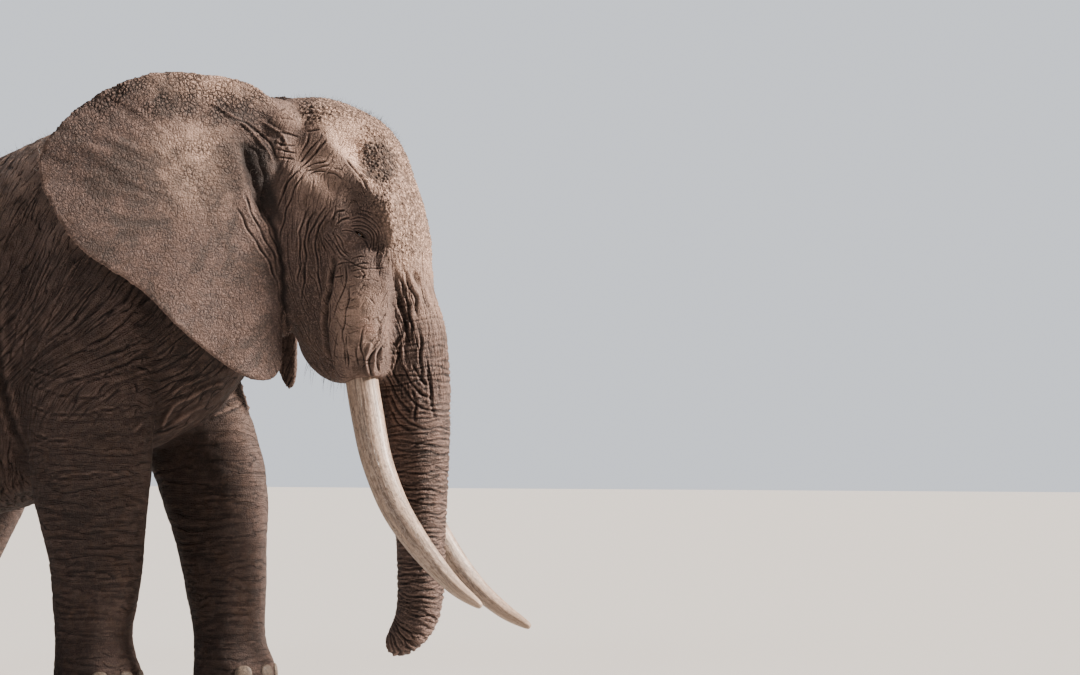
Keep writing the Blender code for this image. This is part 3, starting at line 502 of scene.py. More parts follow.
def makeSkin():
    base = makeBase()
    parts = [(readPoints(base.data), [tuple(face.vertices) for face in base.data.polygons])]
    bpy.data.objects.remove(base, do_unlink=True)
    parts += [ofHead(makeEar(side)) for side in (1, -1)] + [makeTail()]
    parts += [ofHead(blob(np.array(spot) * (1, side, 1), reach)) for side in (1, -1) for spot, reach in earRoots]
    skin = joinParts("skin", parts)
    bake(skin, "REMESH", mode="VOXEL", voxel_size=skinSettings["cell"])
    bake(skin, "SMOOTH", factor=0.5, iterations=skinSettings["rounds"])
    softenRoots(skin)
    points = readPoints(skin.data)
    x, y, z = bodyToHead(points).T
    fine = (x > .72) & ((points[:, 2] > 1.62) | (x > 1.30))     # the head and the trunk's root
    for side in (1, -1):        # and the ears' open faces
        back, height = earPlace(side, x, z)
        out = side * y - earOut(back, height)
        fine |= (out > -.006) & (out < .1) & (back > 0)
        fine &= ~((out < -.02) & (side * y > .50) & (points[:, 0] < .95))
    refine(skin, fine)
    x, y, z = bodyToHead(readPoints(skin.data)).T
    face = (x > 1.04) & (x < 1.80) & (z > 1.72) & (z < 3.14) & (np.abs(y) > .19)
    refine(skin, face | ((x > 1.40) & (z > 2.70) & (y < .05)))
    refine(skin, fromEyes(readPoints(skin.data)) < skinSettings["eyeReach"])
    bake(skin, "SMOOTH", factor=0.5, iterations=2)
    report("skin joined, %d faces" % len(skin.data.polygons))
    return skin


def nearTrunk(inHead):      # along, round and ratio to the trunk's own size; only near it
    line = smoothRows(trunk, 12)
    travelled = distances(line[:, :2])
    slope = unit(np.gradient(line[:, :2], axis=0))
    along, turn, ratio = np.zeros(len(inHead)), np.zeros(len(inHead)), np.full(len(inHead), 9.0)
    some = np.nonzero((inHead[:, 0] > 1.25) & (np.abs(inHead[:, 1]) < .36) & (inHead[:, 2] < 2.8))[0]
    for part in np.array_split(some, max(1, len(some) // 20000)):
        flat = inHead[part][:, [0, 2]]
        best = ((flat[:, None, :] - line[None, :, :2]) ** 2).sum(2).argmin(1)
        off = flat - line[best, :2]
        forward = (off[:, 0] * -slope[best, 1] + off[:, 1] * slope[best, 0]) / line[best, 2]
        sideways = inHead[part, 1] / line[best, 3]
        along[part] = travelled[best] + (off * slope[best]).sum(1)
        turn[part], ratio[part] = np.arctan2(sideways, forward), np.hypot(sideways, forward)
    return along, turn, ratio


def places(points):     # how far each vertex belongs to each part of the body, and where on it
    inHead = bodyToHead(points)
    x, _, z = inHead.T
    side = np.where(inHead[:, 1] > 0, 1, -1)
    ear, back, height, lift = (np.zeros(len(points)) for _ in range(4))
    for sign in (1, -1):
        mine = side == sign
        b, h = earPlace(sign, x[mine], z[mine])
        away = (sign * inHead[mine, 1] - earOut(b, h) - earRipple(sign, b, h)) * math.cos(earShape["swing"])
        b = b + math.tan(earShape["swing"]) * away
        ear[mine] = ramp(np.abs(away), .060, .038) * ramp(b, -.03, .07) * ramp(h, 1.70, 1.76)
        back[mine], height[mine], lift[mine] = b, h, away
    along, turn, ratio = nearTrunk(inHead)
    rear = ramp(z, 1.6, 1.8)
    onTrunk = ramp(z, 2.50, 2.10) * ramp(ratio, 1.34, 1.12) * (ratio < 2)
    onTrunk *= ramp(x, 1.44 + .16 * rear, 1.50 + .18 * rear)
    leg = np.zeros(len(points))
    for name in legs:
        rows = np.array(sorted(legRows(name)))
        legX, legY, depth, width = (np.interp(points[:, 2], rows[:, 0], rows[:, k]) for k in (1, 2, 3, 4))
        away = np.hypot((points[:, 0] - legX) / depth, (points[:, 1] - legY) / width)
        leg = np.maximum(leg, ramp(away, 1.30, 1.10) * ramp(points[:, 2], 1.80, 1.25))
    tail = ramp(points[:, 0], -2.38, -2.46) * ramp(np.abs(points[:, 1]), .16, .10) * (points[:, 2] < 2.62)
    onSkull = ramp(x, .80, .98) * ramp(points[:, 2], 1.58, 1.72) * (1 - onTrunk) * (1 - ear)
    return {"head": inHead, "side": side, "ear": ear, "earBack": back, "earHeight": height, "earLift": lift,
            "along": along, "turn": turn, "trunk": onTrunk, "leg": leg, "tail": tail, "skull": onSkull,
            "torso": np.clip(1 - onTrunk - ear - leg - tail - onSkull, 0, 1)}


# Wrinkles on each part: cell sizes along, across and round, depth, darkness of lines, share of cells, thin lines.
wrinkles = {
    "torso": {"size": (.150, .036, .090), "depth": .0120, "tone": 1.0, "cells": .05, "thin": 1.0},
    "leg": {"size": (.130, .034, .130), "depth": .0070, "tone": .55, "cells": .20, "thin": .55},
    "trunk": {"size": (.036, .028, .022, .110), "depth": .0070, "tone": .85, "cells": .40, "thin": .30},
    "ear": {"size": (.024, .024), "depth": .0016, "tone": .34, "cells": .60, "thin": 0},
    "skull": {"size": (.0240, .19), "depth": .0030, "tone": .50, "cells": .20, "thin": .25},
    "tail": {"size": (.035, .016, .035), "depth": .0022, "tone": .4, "cells": .5, "thin": 0},
}
eyeX, eyeZ = 1.487, 2.585       # the lines of the face run round the eye


def storeFlow(mesh, points, here):      # the wrinkles' own coordinates: flowA everywhere, flowB where flowMix is 1
    size = {name: row["size"] for name, row in wrinkles.items()}
    x, y, z = points.T
    hx, hy, hz = here["head"].T
    along, trunkSize, earBack, earHeight = here["along"], size["trunk"], here["earBack"], here["earHeight"]

    def sumOf(key):
        return sum(here[name] * row[key] for name, row in wrinkles.items())

    lean = .22 * np.sin(1.7 * z + .6) + .10 * np.sin(2.9 * x + 1.3 * z)     # the body's lines bend as they fall
    turned = 1.33 * np.clip(2.3 - z, 0, .55) ** 2 * soft(x, -.25, .60)      # and lie flatter over the arm
    down, over = -.36 * x - .93 * z, .93 * (x + lean * .5 + turned) - .36 * z
    flowA = np.stack([down, over, y], 1) / np.array(size["torso"])
    spans = [0, .6 / trunkSize[0], .8 / trunkSize[1], .6 / trunkSize[2], .7 / trunkSize[2]]
    count = np.interp(along, [0, .6, 1.4, 2.0, 2.7], np.cumsum(spans))
    onTrunk = np.stack([y / trunkSize[3], count, hx / trunkSize[3]], 1)
    onEar = np.stack([earBack / size["ear"][0], earHeight / size["ear"][1],
                      6 * np.sign(here["earLift"]) + 20 * here["side"]], 1)
    flowA[here["trunk"] > .5] = onTrunk[here["trunk"] > .5]
    flowA[here["ear"] > .5] = onEar[here["ear"] > .5]
    turn = np.arctan2((hz - eyeZ) * .50, hx - eyeX)
    flowB = np.stack([np.cos(turn) / size["skull"][1] + hy / .050,
                      np.hypot(hx - eyeX, (hz - eyeZ) * .50) / size["skull"][0],
                      np.sin(turn) / size["skull"][1] + hy / .070], 1)
    for name, chosen in (("leg", (here["leg"] > 0) & (here["skull"] == 0)), ("tail", here["tail"] > 0)):
        flowB[chosen] = (points[:, [0, 2, 1]] / np.array(size[name]))[chosen]
    chosen = here["trunk"] > 0      # furrows run down the upper trunk, rings go round the rest
    flowB[chosen] = np.stack([along / .16, here["turn"] * .25 / .034, 0 * along], 1)[chosen]
    calm = 1 - here["skull"] * ramp(np.hypot(hx - eyeX, hz - eyeZ), .15, .07)
    top = np.maximum(ramp(earHeight, 3.05, 3.40), ramp(earBack, .25, .05) * ramp(earHeight, 2.95, 3.15) * .7)
    top = here["ear"] * np.maximum(top, .6 * soft(earBack, .46, .20, earHeight, 3.0, .20))
    store(mesh, "cells", np.minimum(sumOf("cells") + .5 * top, 1))
    store(mesh, "close", 1 - .5 * np.clip(here["torso"] + here["leg"], 0, 1))
    store(mesh, "thin", sumOf("thin") * calm)
    store(mesh, "lines", sumOf("tone") * calm + .60 * top)
    store(mesh, "flowA", flowA)
    store(mesh, "flowB", flowB)
    store(mesh, "flowMix", np.clip(here["skull"] + here["leg"] + here["tail"]
                                   + here["trunk"] * ramp(along, 1.25, .90), 0, 1))
    return sumOf("depth") * calm + .0030 * top


# Kinds of fold: width, depth (less than 0 is a ridge) and darkness, the painted shade laid in the fold.
foldKinds = {"fine": (.0044, .0048, .95), "mid": (.0054, .0085, 1), "deep": (.0140, .026, .9),
             "deep2": (.017, .030, 1), "lid": (.0040, .0042, .85), "ridge": (.0080, -.0095, 0),
             "cleft": (.016, .012, 1), "slot": (.036, .036, 1), "gash": (.0072, .014, 1),
             "soft": (.020, .014, .25), "wide": (.008, -.013, 0), "brow": (.044, -.020, 0),
             "hollow": (.052, .017, .04)}
# The strokes of each fold in millimetres: X, height, X, height and so on. These lie along the head, on both sides.
folds = {
    "brow": ("brow", (
        (1236, 3198, 1306, 3095, 1394, 2997, 1471, 2911, 1553, 2830, 1617, 2739, 1652, 2636, 1675, 2529, 1704,
         2432),)),
    "templeHollow": ("hollow", (
        (1106, 3075, 1200, 2983, 1306, 2890, 1389, 2810),
        (1500, 2770, 1560, 2671, 1595, 2560, 1605, 2440, 1610, 2300),)),
    "crown": ("mid", (
        (946, 3321, 1012, 3306, 1071, 3310), (1171, 3257, 1242, 3261), (1035, 3251, 1112, 3249),
        (821, 3261, 911, 3239, 1012, 3223), (911, 3208, 994, 3177, 1083, 3164, 1124, 3152),
        (928, 3150, 1012, 3112, 1112, 3101), (923, 3122, 1000, 3080, 1124, 3061),
        (893, 3105, 976, 3052, 1047, 3028, 1124, 3021), (1130, 3329, 1201, 3325, 1278, 3323),
        (1159, 3189, 1242, 3193), (1094, 3295, 1189, 3294, 1283, 3286),)),
    "temple": ("mid", (
        (1159, 2972, 1224, 3000, 1300, 3015), (1165, 2949, 1236, 2977, 1312, 2987),
        (1183, 2915, 1218, 2949, 1300, 2964), (1306, 2953, 1353, 2935, 1389, 2906),
        (1236, 3141, 1194, 3080, 1130, 3007), (1183, 3182, 1177, 3131, 1141, 3063),
        (1283, 3135, 1236, 3073, 1177, 3023), (1383, 3014, 1435, 2956, 1494, 2893, 1535, 2830),)),
    "cheekLong": ("mid", (
        (1276, 3147, 1217, 3057, 1141, 2968, 1070, 2861, 1041, 2799),
        (1164, 2985, 1088, 2895, 1035, 2788, 994, 2664, 976, 2562),
        (1182, 2956, 1117, 2844, 1070, 2720, 1035, 2572, 1011, 2437),
        (1217, 2769, 1170, 2673, 1153, 2571, 1153, 2435, 1129, 2305),
        (1253, 2745, 1200, 2656, 1182, 2559, 1182, 2435, 1164, 2299, 1141, 2191),
        (1305, 2767, 1258, 2689, 1212, 2604, 1200, 2525),
        (1346, 2755, 1300, 2694, 1253, 2621, 1241, 2525, 1250, 2389, 1264, 2236),
        (1411, 2732, 1358, 2710, 1332, 2660), (1440, 2692, 1393, 2673, 1352, 2642),)),
    "cheekFurrow": ("deep", (
        (1353, 2502, 1347, 2411, 1323, 2293, 1291, 2185, 1279, 2078, 1276, 1965, 1288, 1857),)),
    "eyeLeft": ("fine", (
        (1305, 2603, 1341, 2552, 1382, 2489, 1423, 2455), (1323, 2614, 1358, 2569, 1393, 2506, 1434, 2460),
        (1352, 2603, 1387, 2557, 1411, 2500, 1446, 2472), (1288, 2581, 1329, 2518, 1364, 2467),
        (1264, 2609, 1276, 2541, 1311, 2484),)),
    "lid": ("lid", (
        (1435, 2622, 1476, 2624, 1522, 2607, 1551, 2571, 1553, 2528, 1538, 2500),
        (1418, 2640, 1481, 2645, 1530, 2624, 1563, 2584, 1567, 2530, 1560, 2482),
        (1440, 2662, 1493, 2663, 1545, 2637, 1578, 2590, 1582, 2520),
        (1410, 2676, 1499, 2684, 1556, 2652, 1591, 2601, 1596, 2525, 1588, 2440),
        (1450, 2706, 1510, 2705, 1572, 2669, 1606, 2612, 1612, 2540),
        (1440, 2732, 1516, 2731, 1592, 2685, 1624, 2606, 1632, 2500, 1620, 2390),
        (1382, 2606, 1417, 2612, 1452, 2608),)),
    "underEye": ("fine", (
        (1437, 2382, 1507, 2390, 1583, 2397, 1642, 2408), (1431, 2407, 1502, 2421, 1560, 2420),
        (1355, 2417, 1431, 2430, 1484, 2432), (1350, 2352, 1414, 2357), (1443, 2452, 1490, 2463, 1531, 2457),
        (1507, 2387, 1531, 2361, 1513, 2330), (1461, 2359, 1496, 2342, 1542, 2358),
        (1396, 2456, 1449, 2433, 1507, 2398, 1566, 2381),)),
    "cheekLow": ("mid", (
        (1417, 2432, 1428, 2348, 1405, 2269, 1364, 2184, 1329, 2105),
        (1452, 2325, 1440, 2218, 1411, 2082, 1402, 2031, 1417, 1890, 1420, 1828),
        (1323, 2235, 1317, 2139, 1302, 2049), (1376, 2048, 1346, 1975, 1338, 1902, 1338, 1828),
        (1423, 2031, 1428, 1935, 1434, 1828), (1481, 1963, 1490, 1844),
        (1533, 2070, 1510, 2002, 1516, 1918, 1533, 1827),)),
    "sheathV": ("mid", (
        (1557, 1765, 1557, 1867, 1575, 1924, 1616, 1985, 1633, 2076),
        (1598, 1782, 1592, 1867, 1610, 1929, 1639, 1985), (1656, 1776, 1662, 1850, 1686, 1906, 1697, 1979),
        (1726, 2013, 1720, 2081, 1691, 2171, 1668, 2273, 1651, 2414),)),
    "sheathR": ("ridge", (
        (1540, 1788, 1537, 1873, 1551, 1935, 1575, 1986),
        (1587, 1748, 1575, 1833, 1581, 1901, 1610, 1980, 1627, 2070, 1656, 2166),
        (1610, 1844, 1621, 1923, 1656, 2013),
        (1639, 1788, 1656, 1867, 1674, 1946, 1715, 2030, 1709, 2092, 1686, 2171),
        (1703, 1844, 1703, 1934, 1709, 1991),)),
    "trunkFurrow": ("deep", (
        (1642, 2526, 1653, 2412, 1671, 2304, 1700, 2180, 1723, 2077, 1735, 1953),)),
    "trunkRoot": ("gash", (
        (1679, 2392, 1702, 2295, 1731, 2187, 1755, 2051, 1761, 1948),
        (1708, 2403, 1731, 2312, 1767, 2232, 1781, 2119), (1831, 2317, 1866, 2237, 1901, 2157),
        (1796, 2050, 1805, 1960, 1802, 1869, 1813, 1778),)),
    "trunkNet": ("gash", (
        (1610, 1816, 1635, 1733, 1695, 1634, 1760, 1568), (1635, 1849, 1686, 1749, 1763, 1650, 1828, 1593),
        (1686, 1865, 1746, 1766, 1811, 1684, 1896, 1651), (1763, 1865, 1794, 1783, 1845, 1733),
        (1837, 1866, 1849, 1750, 1862, 1634, 1871, 1535), (1888, 1849, 1893, 1733, 1910, 1617, 1917, 1518),
        (1930, 1783, 1939, 1667, 1951, 1568), (1610, 1700, 1661, 1601, 1746, 1526, 1828, 1485),
        (1618, 1601, 1678, 1518, 1760, 1469), (1760, 1717, 1777, 1618, 1768, 1518),)),
    "trunkDeep": ("deep2", (
        (1756, 2404, 1792, 2319, 1821, 2233, 1862, 2165),)),
    "trunkFront": ("gash", (
        (1841, 2287, 1888, 2229, 1917, 2121, 1958, 1984),)),
    "tear": ("fine", (
        (1505, 2568, 1528, 2540, 1546, 2506, 1546, 2477),)),
}
# The ear's root: a cleft in front of the blade and the opening above it, both darkened with painted shade.
rootFolds = {
    "cleft": ("cleft", (
        (955, 2800, 978, 2700, 1000, 2627, 1035, 2491, 1053, 2321, 1064, 2150, 1070, 1990),)),
    "slot": ("slot", (
        (858, 3130, 880, 3040, 905, 2950, 932, 2840, 955, 2740, 975, 2660),)),
    "brim": ("ridge", (
        (660, 3340, 760, 3290, 850, 3220, 920, 3140, 965, 3060, 1000, 2980),
        (920, 3250, 1000, 3200, 1060, 3130, 1090, 3040),)),
    "roots": ("mid", (
        (846, 2855, 888, 2718, 947, 2593, 1000, 2479, 1029, 2377),
        (894, 2843, 941, 2718, 988, 2592, 1029, 2490, 1053, 2399),
        (817, 2759, 864, 2645, 929, 2525, 988, 2411, 1023, 2298),
        (787, 3256, 858, 3221, 929, 3168, 988, 3094, 1023, 3014),)),
}
# Along the body, on both sides.
bodyFolds = {
    "arm": ("mid", (
        (-297, 1195, -200, 1207, -103, 1213, 57, 1231, 197, 1249),
        (-394, 1471, -297, 1442, -200, 1420, -103, 1425),
        (-459, 1656, -264, 1586, -71, 1569, 120, 1597, 279, 1642), (-426, 1771, -232, 1701, -7, 1666, 184, 1700),
        (-446, 1858, -232, 1799, 25, 1769, 216, 1814),)),
    "shoulder": ("mid", (
        (-209, 2802, -286, 2603, -402, 2317, -480, 2030, -532, 1817),
        (-144, 2715, -241, 2487, -338, 2248, -415, 2001, -467, 1771),
        (-48, 2513, -93, 2388, -209, 2171, -318, 1960), (-383, 2996, -480, 2809, -545, 2637, -578, 2522),)),
    "elbow": ("soft", (
        (-600, 2350, -585, 2050, -560, 1750, -530, 1500, -490, 1340),)),
    "flank": ("soft", (
        (-1300, 2100, -1240, 1800, -1190, 1500, -1160, 1250), (-1200, 1300, -1360, 1160, -1520, 1090),)),
    "chest": ("wide", (
        (240, 1450, 290, 1545, 360, 1610, 450, 1670, 560, 1730, 710, 1790),
        (310, 1500, 380, 1560, 480, 1610, 600, 1660), (360, 1680, 460, 1745, 570, 1800),)),
    "haunch": ("mid", (
        (-1420, 2750, -1370, 2450, -1340, 2150, -1350, 1850), (-2050, 1550, -1900, 1420, -1720, 1360, -1550, 1370),
        (-2120, 1320, -1970, 1220, -1800, 1170, -1630, 1190), (-1620, 1020, -1750, 970, -1900, 970, -2020, 1010),
        (-850, 2700, -950, 2350, -1000, 2000, -980, 1620), (-1050, 2620, -1130, 2300, -1160, 1950),)),
}


def groove(side):       # the cut of a fold: a valley with a low lip beside it
    return -np.exp(-side ** 2), np.exp(-((side - 2.1) / 1.1) ** 2)


def pressFolds(flat, weight, table, seed):      # depth and painted shade of every fold at every vertex
    push, dark = np.zeros(len(flat)), np.zeros(len(flat))
    rng = np.random.default_rng(seed)
    for kind, lines in table.values():
        width, depth, darkness = foldKinds[kind]
        for line in lines:
            line = np.array(line).reshape(-1, 2) / 1000
            if len(line) > 2:
                line = smoothRows(line, 4)
            low, high = line.min(0) - 5 * width, line.max(0) + 5 * width
            near = np.nonzero(((flat > low) & (flat < high)).all(1) & (weight > .01))[0]
            if not len(near):
                continue
            spot = flat[near] + .0035 * np.sin(flat[near][:, ::-1] * rng.uniform(30, 60) + rng.uniform(0, 6))
            starts = distances(line)
            best, travel = np.full(len(near), 9.0), np.zeros(len(near))
            for a, b, start in zip(line, line[1:], starts):
                length = np.linalg.norm(b - a)
                t = np.clip(((spot - a) @ (b - a)) / max(length ** 2, 1e-9), 0, 1)
                gap = np.linalg.norm(spot - a - t[:, None] * (b - a), axis=1)
                closer = gap < best
                best[closer], travel[closer] = gap[closer], (start + t * length)[closer]
            share = travel / starts[-1]
            taper = ramp(share, -.02, .18) * ramp(share, 1.02, .82) * weight[near]
            taper *= 1 if width > .015 else .80 + .20 * np.sin(travel * rng.uniform(25, 60) + rng.uniform(0, 6))
            valley, lip = groove(best / width)
            push[near] += depth * (valley + .30 * lip) * taper
            if darkness:
                dark[near] = np.maximum(dark[near], darkness * soft(best, 0, width * .85) * taper)
    return push, dark


trunkRings = {"start": .34, "end": 2.62, "gap": (.044, .034, .027, .022), "width": .0060, "depth": .0085}


def pressRings(here, rng):      # creases that run round the trunk and fade to its rear, with their painted shade
    along, turn = here["along"], here["turn"]
    push, dark = np.zeros(len(along)), np.zeros(len(along))
    place = trunkRings["start"]
    while place < trunkRings["end"]:
        gap = np.interp(place, [0, .9, 1.6, 2.4], trunkRings["gap"])
        strength = rng.uniform(.35, 1.0) * np.interp(place, [.35, .6, 1.15], [.35, .55, 1])
        middle, reach = rng.uniform(-1.0, 1.0), rng.uniform(1.7, 3.0)
        wave = .010 * np.sin(turn * 2 + rng.uniform(0, 6)) + .006 * np.sin(turn * 5 + rng.uniform(0, 6))
        away = np.abs(along - place - wave - .012 * np.cos(turn)) / trunkRings["width"]
        near = (away < 4) & (here["trunk"] > 0)
        cover = strength * ramp(np.abs(turn[near] - middle), reach, reach * .55) * here["trunk"][near]
        valley, lip = groove(away[near])
        push[near] += trunkRings["depth"] * (valley + .35 * lip) * cover
        dark[near] = np.maximum(dark[near], .8 * soft(away[near], 0, .8) * cover)
        place += gap * rng.uniform(.75, 1.25)
    return push, dark


# The lids over the eyeball: its radius, their thickness, the slit's half length, height, depth and slope.
lids = {"ball": .0215, "thick": .0046, "half": .034, "up": .0085, "down": .0062, "tilt": (.816, -.578),
        "lip": .0022, "crease": .0030}


def headWay(x, y, z):       # a direction given in the head's frame
    return headToBody(np.array([headPivot + x, y, z])) - (headPivot, 0, 0)


def eyeAxes(side, points, normals):
    centre = eyeCentres[side]
    out = unit(normals[np.linalg.norm(points - centre, axis=1) < .06].mean(0))
    slit = headWay(lids["tilt"][0], 0, lids["tilt"][1])
    slit = unit(slit - out * (slit @ out))
    above = np.cross(slit, out)
    return centre, slit, above * np.sign(above[2]), out


def shapeEyes(points, normals):     # raises the lids over the ball, in place; gives the painted shade of the slit, the lids' rims and creases and the corners
    dark = np.zeros(len(points))
    for side in (1, -1):
        centre, slit, above, out = eyeAxes(side, points, normals)
        away = points - centre
        near = np.nonzero(np.linalg.norm(away, axis=1) < .085)[0]
        a, b, c = away[near] @ slit, away[near] @ above, away[near] @ out
        dome = np.sqrt(np.maximum((lids["ball"] + lids["thick"]) ** 2 - .55 * a ** 2 - b ** 2, 0))
        raised = np.where(dome > 0, np.logaddexp(c / .004, dome / .004) * .004, c)
        raised = c + (raised - c) * ramp(np.hypot(a, b), .058, .026)
        share = np.clip(1 - (np.abs(a + .001) / lids["half"]) ** 2.0, 0, 1)
        upper, lower = lids["up"] * share ** .75, -lids["down"] * share ** .9
        lip = soft(b, upper, .0032) + .7 * soft(b, lower, .0030)
        crease = soft(b, upper + .0085 + .005 * (1 - share), .0024) + .8 * soft(b, lower - .0080, .0024)
        crease *= share ** .5
        raised += lids["lip"] * lip * (share > 0) * ramp(share, 0, .4) - lids["crease"] * crease
        inside = ramp(b, lower - .0004, lower + .0012) * ramp(b, upper + .0004, upper - .0012) * (share > 0)
        raised = raised * (1 - inside) + (lids["ball"] * .25) * inside
        points[near] += out * (raised - c)[:, None]
        rim = (soft(b, upper, .0040) + soft(b, lower, .0035)) * (share > 0)
        corner = soft(np.abs(a), lids["half"], .010, b, 0, .006)
        dark[near] = np.maximum(dark[near], np.clip(inside + rim + crease * .8 + corner, 0, 1))
    return dark


# Soft bumps and hollows of the face: place, reach and height in the head's frame, on both sides.
faceSwells = (((1.50, .38, 2.72), (.060, .14, .050), -.012),    # the hollows round the eye
              ((1.44, .38, 2.50), (.060, .14, .045), -.008),
              ((1.645, .32, 2.56), (.030, .16, .29), .023),     # the brow's ridge in front of them
              ((1.12, .40, 2.62), (.05, .2, .30), .014), ((1.18, .40, 2.25), (.05, .2, .18), -.016),
              ((1.44, .36, 2.28), (.09, .2, .16), .012),
              ((1.62, .30, 2.13), (.016, .10, .014), -.007))    # the temporal gland's pore
faceLip = {"height": 1.80, "drop": .09, "reach": .030, "proud": .010}
tuskRim = {"place": (1.478, .284), "radius": .115, "reach": .022, "proud": .008}
nostril = {"apart": .030, "height": .252, "radius": .015, "depth": .035}
earStreaks = {"count": 9, "height": .0032, "dark": .30}
# The opening at the ear's root, darkened with painted shade: height and X of its middle.
slotLine = ([2.66, 2.74, 2.84, 2.95, 3.04, 3.13], [.990, .970, .935, .912, .905, .900])


def streaks(turn, back):        # slack streaks that fan out to the ear's rear edge
    rng = np.random.default_rng(8)
    total = 0
    for _ in range(earStreaks["count"]):
        strength = rng.uniform(.4, 1)
        wave = turn * rng.uniform(18, 75) * rng.choice((-1, 1)) + back * rng.uniform(2, 11)
        total = total + strength * np.sin(wave + 2.2 * np.sin(back * rng.uniform(4, 9) + turn * rng.uniform(2, 6)))
    return total / 3


def sculpt(skin):       # presses every fold into the skin and stores what the finish needs
    mesh = skin.data
    points, normals = readPoints(mesh), readNormals(mesh)
    here = places(points)
    depth = storeFlow(mesh, points, here)
    x, y, z = here["head"].T
    side, head, body = np.abs(y), here["head"][:, [0, 2]], points[:, [0, 2]]
    facing = ramp(np.abs(normals[:, 1]), .22, .50)
    onSkull = facing * np.clip(1 - here["ear"] * 1.5, 0, 1) * ramp(x, .70, .80)
    onBody = facing * (1 - here["ear"]) * (1 - here["trunk"]) * ramp(x, .95, .80)
    push, dark = np.zeros(len(points)), np.zeros(len(points))
    for (more, shade), share in ((pressFolds(head, onSkull, folds, 3), 1),
                                 (pressFolds(head, facing * ramp(side, .20, .30), rootFolds, 4), 1),
                                 (pressFolds(body, onBody * ramp(np.abs(points[:, 1]), .04, .12), bodyFolds, 6), .7),
                                 (pressRings(here, np.random.default_rng(11)), 1)):
        push, dark = push + more, np.maximum(dark, share * shade)
    for spot, reach, height in faceSwells:
        push += height * soft(x, spot[0], reach[0], side, spot[1], reach[1], z, spot[2], reach[2])
    lip = faceLip["height"] - faceLip["drop"] * ramp(x, 1.25, 1.55)
    push += faceLip["proud"] * soft(z, lip, faceLip["reach"]) * ramp(x, 1.18, 1.30) * here["skull"]
    tuskRoot = np.hypot(x - tuskRim["place"][0], side - tuskRim["place"][1])
    push += tuskRim["proud"] * soft(tuskRoot, tuskRim["radius"], tuskRim["reach"]) * ramp(z, 1.90, 1.80) * (x > 1.2)
    opening = soft(side, nostril["apart"], nostril["radius"], z, nostril["height"], nostril["radius"])
    opening *= (z < .4) * (x > 1.4)
    push -= nostril["depth"] * opening * ramp(x, 1.60, 1.56)
    back, tall = here["earBack"], here["earHeight"]
    streak = streaks(np.arctan2(tall - 2.80, back - .10), back)
    slack = here["ear"] * ramp(back, .40, .85) * (.35 + .65 * ramp(tall, 2.2, 2.7))
    push += earStreaks["height"] * streak * slack
    points = points + normals * push[:, None]
    # Painted shade in the ear's streak troughs, round the eyes and in the nostrils.
    for shade in (earStreaks["dark"] * ramp(streak, -.45, -1.3) * slack, shapeEyes(points, normals),
                  .9 * opening * (x < 1.62)):
        dark = np.maximum(dark, shade)
    points[:, 2] = np.maximum(points[:, 2], 0)
    # The cell pattern is shallow by the eyes, at the soles and inside folds.
    depth *= (ramp(fromEyes(points), .035, .08) * .85 + .15) * ramp(points[:, 2], .004, .05) * (1 - .55 * dark)
    writePoints(mesh, points)
    # Painted shade down the opening at the ear's root.
    slot = ramp(np.abs(x - np.interp(z, *slotLine)), .082, .040) * (side > .22)
    dark = np.maximum(dark, .95 * slot * ramp(z, 2.58, 2.78) * ramp(z, 3.17, 3.07))
    pebbled = here["skull"] * np.max([ramp(x + (z - 2.2) * .28, 1.66, 1.80) * ramp(z, 2.0, 2.62),
                                      ramp(z, 3.16, 3.30) * ramp(x, .95, 1.15),
                                      ramp(np.hypot((x - 1.56) / .11, (z - 3.01) / .15), 1.2, .8)], axis=0)
    # fold holds the painted shade of the folds, rings, eyes, nostrils and the ear's opening.
    for name, values in (("depth", depth), ("fold", dark), ("pebble", pebbled), ("earMask", here["ear"]),
                         ("trunkMask", here["trunk"]), ("legMask", here["leg"]), ("headMask", here["skull"])):
        store(mesh, name, values)
    return here


def isSocket(value):
    return isinstance(value, bpy.types.NodeSocket)


def treeOf(values):     # the node tree that the first socket among the values stands in
    return next(value.id_data for value in values if isSocket(value))


def addNode(tree, kind, inputs=None, **settings):
    node = tree.nodes.new(kind)
    for key, value in settings.items():
        setattr(node, key, value)
    for key, value in (inputs or {}).items():
        if isSocket(value):
            tree.links.new(value, node.inputs[key])
        else:
            node.inputs[key].default_value = value
    return node


def maths(operation, *values, clamp=False):
    node = addNode(treeOf(values), "ShaderNodeMath", dict(enumerate(values)), operation=operation, use_clamp=clamp)
    return node.outputs[0]


def times(first, *others, clamp=False):
    for other in others:
        first = maths("MULTIPLY", first, other, clamp=clamp)
    return first


def most(first, *others, clamp=False):
    for other in others:
        first = maths("MAXIMUM", first, other, clamp=clamp)
    return first


def timesPlus(a, b, c, clamp=False):        # a times b plus c
    return maths("MULTIPLY_ADD", a, b, c, clamp=clamp)


def vectorMaths(operation, a, b):
    return addNode(treeOf((a, b)), "ShaderNodeVectorMath", {0: a, 1: b}, operation=operation).outputs[0]


def scaled(vector, scale):
    inputs = {0: vector, "Scale": scale}
    return addNode(vector.id_data, "ShaderNodeVectorMath", inputs, operation="SCALE").outputs[0]


def remap(value, low, high, start=0.0, end=1.0):
    inputs = {"Value": value, "From Min": low, "From Max": high, "To Min": start, "To Max": end}
    return addNode(value.id_data, "ShaderNodeMapRange", inputs, interpolation_type="SMOOTHSTEP").outputs["Result"]


def blend(factor, a, b):
    inputs = {"Factor": factor, "A": a, "B": b}
    return addNode(treeOf((factor, a, b)), "ShaderNodeMix", inputs, data_type="FLOAT").outputs["Result"]


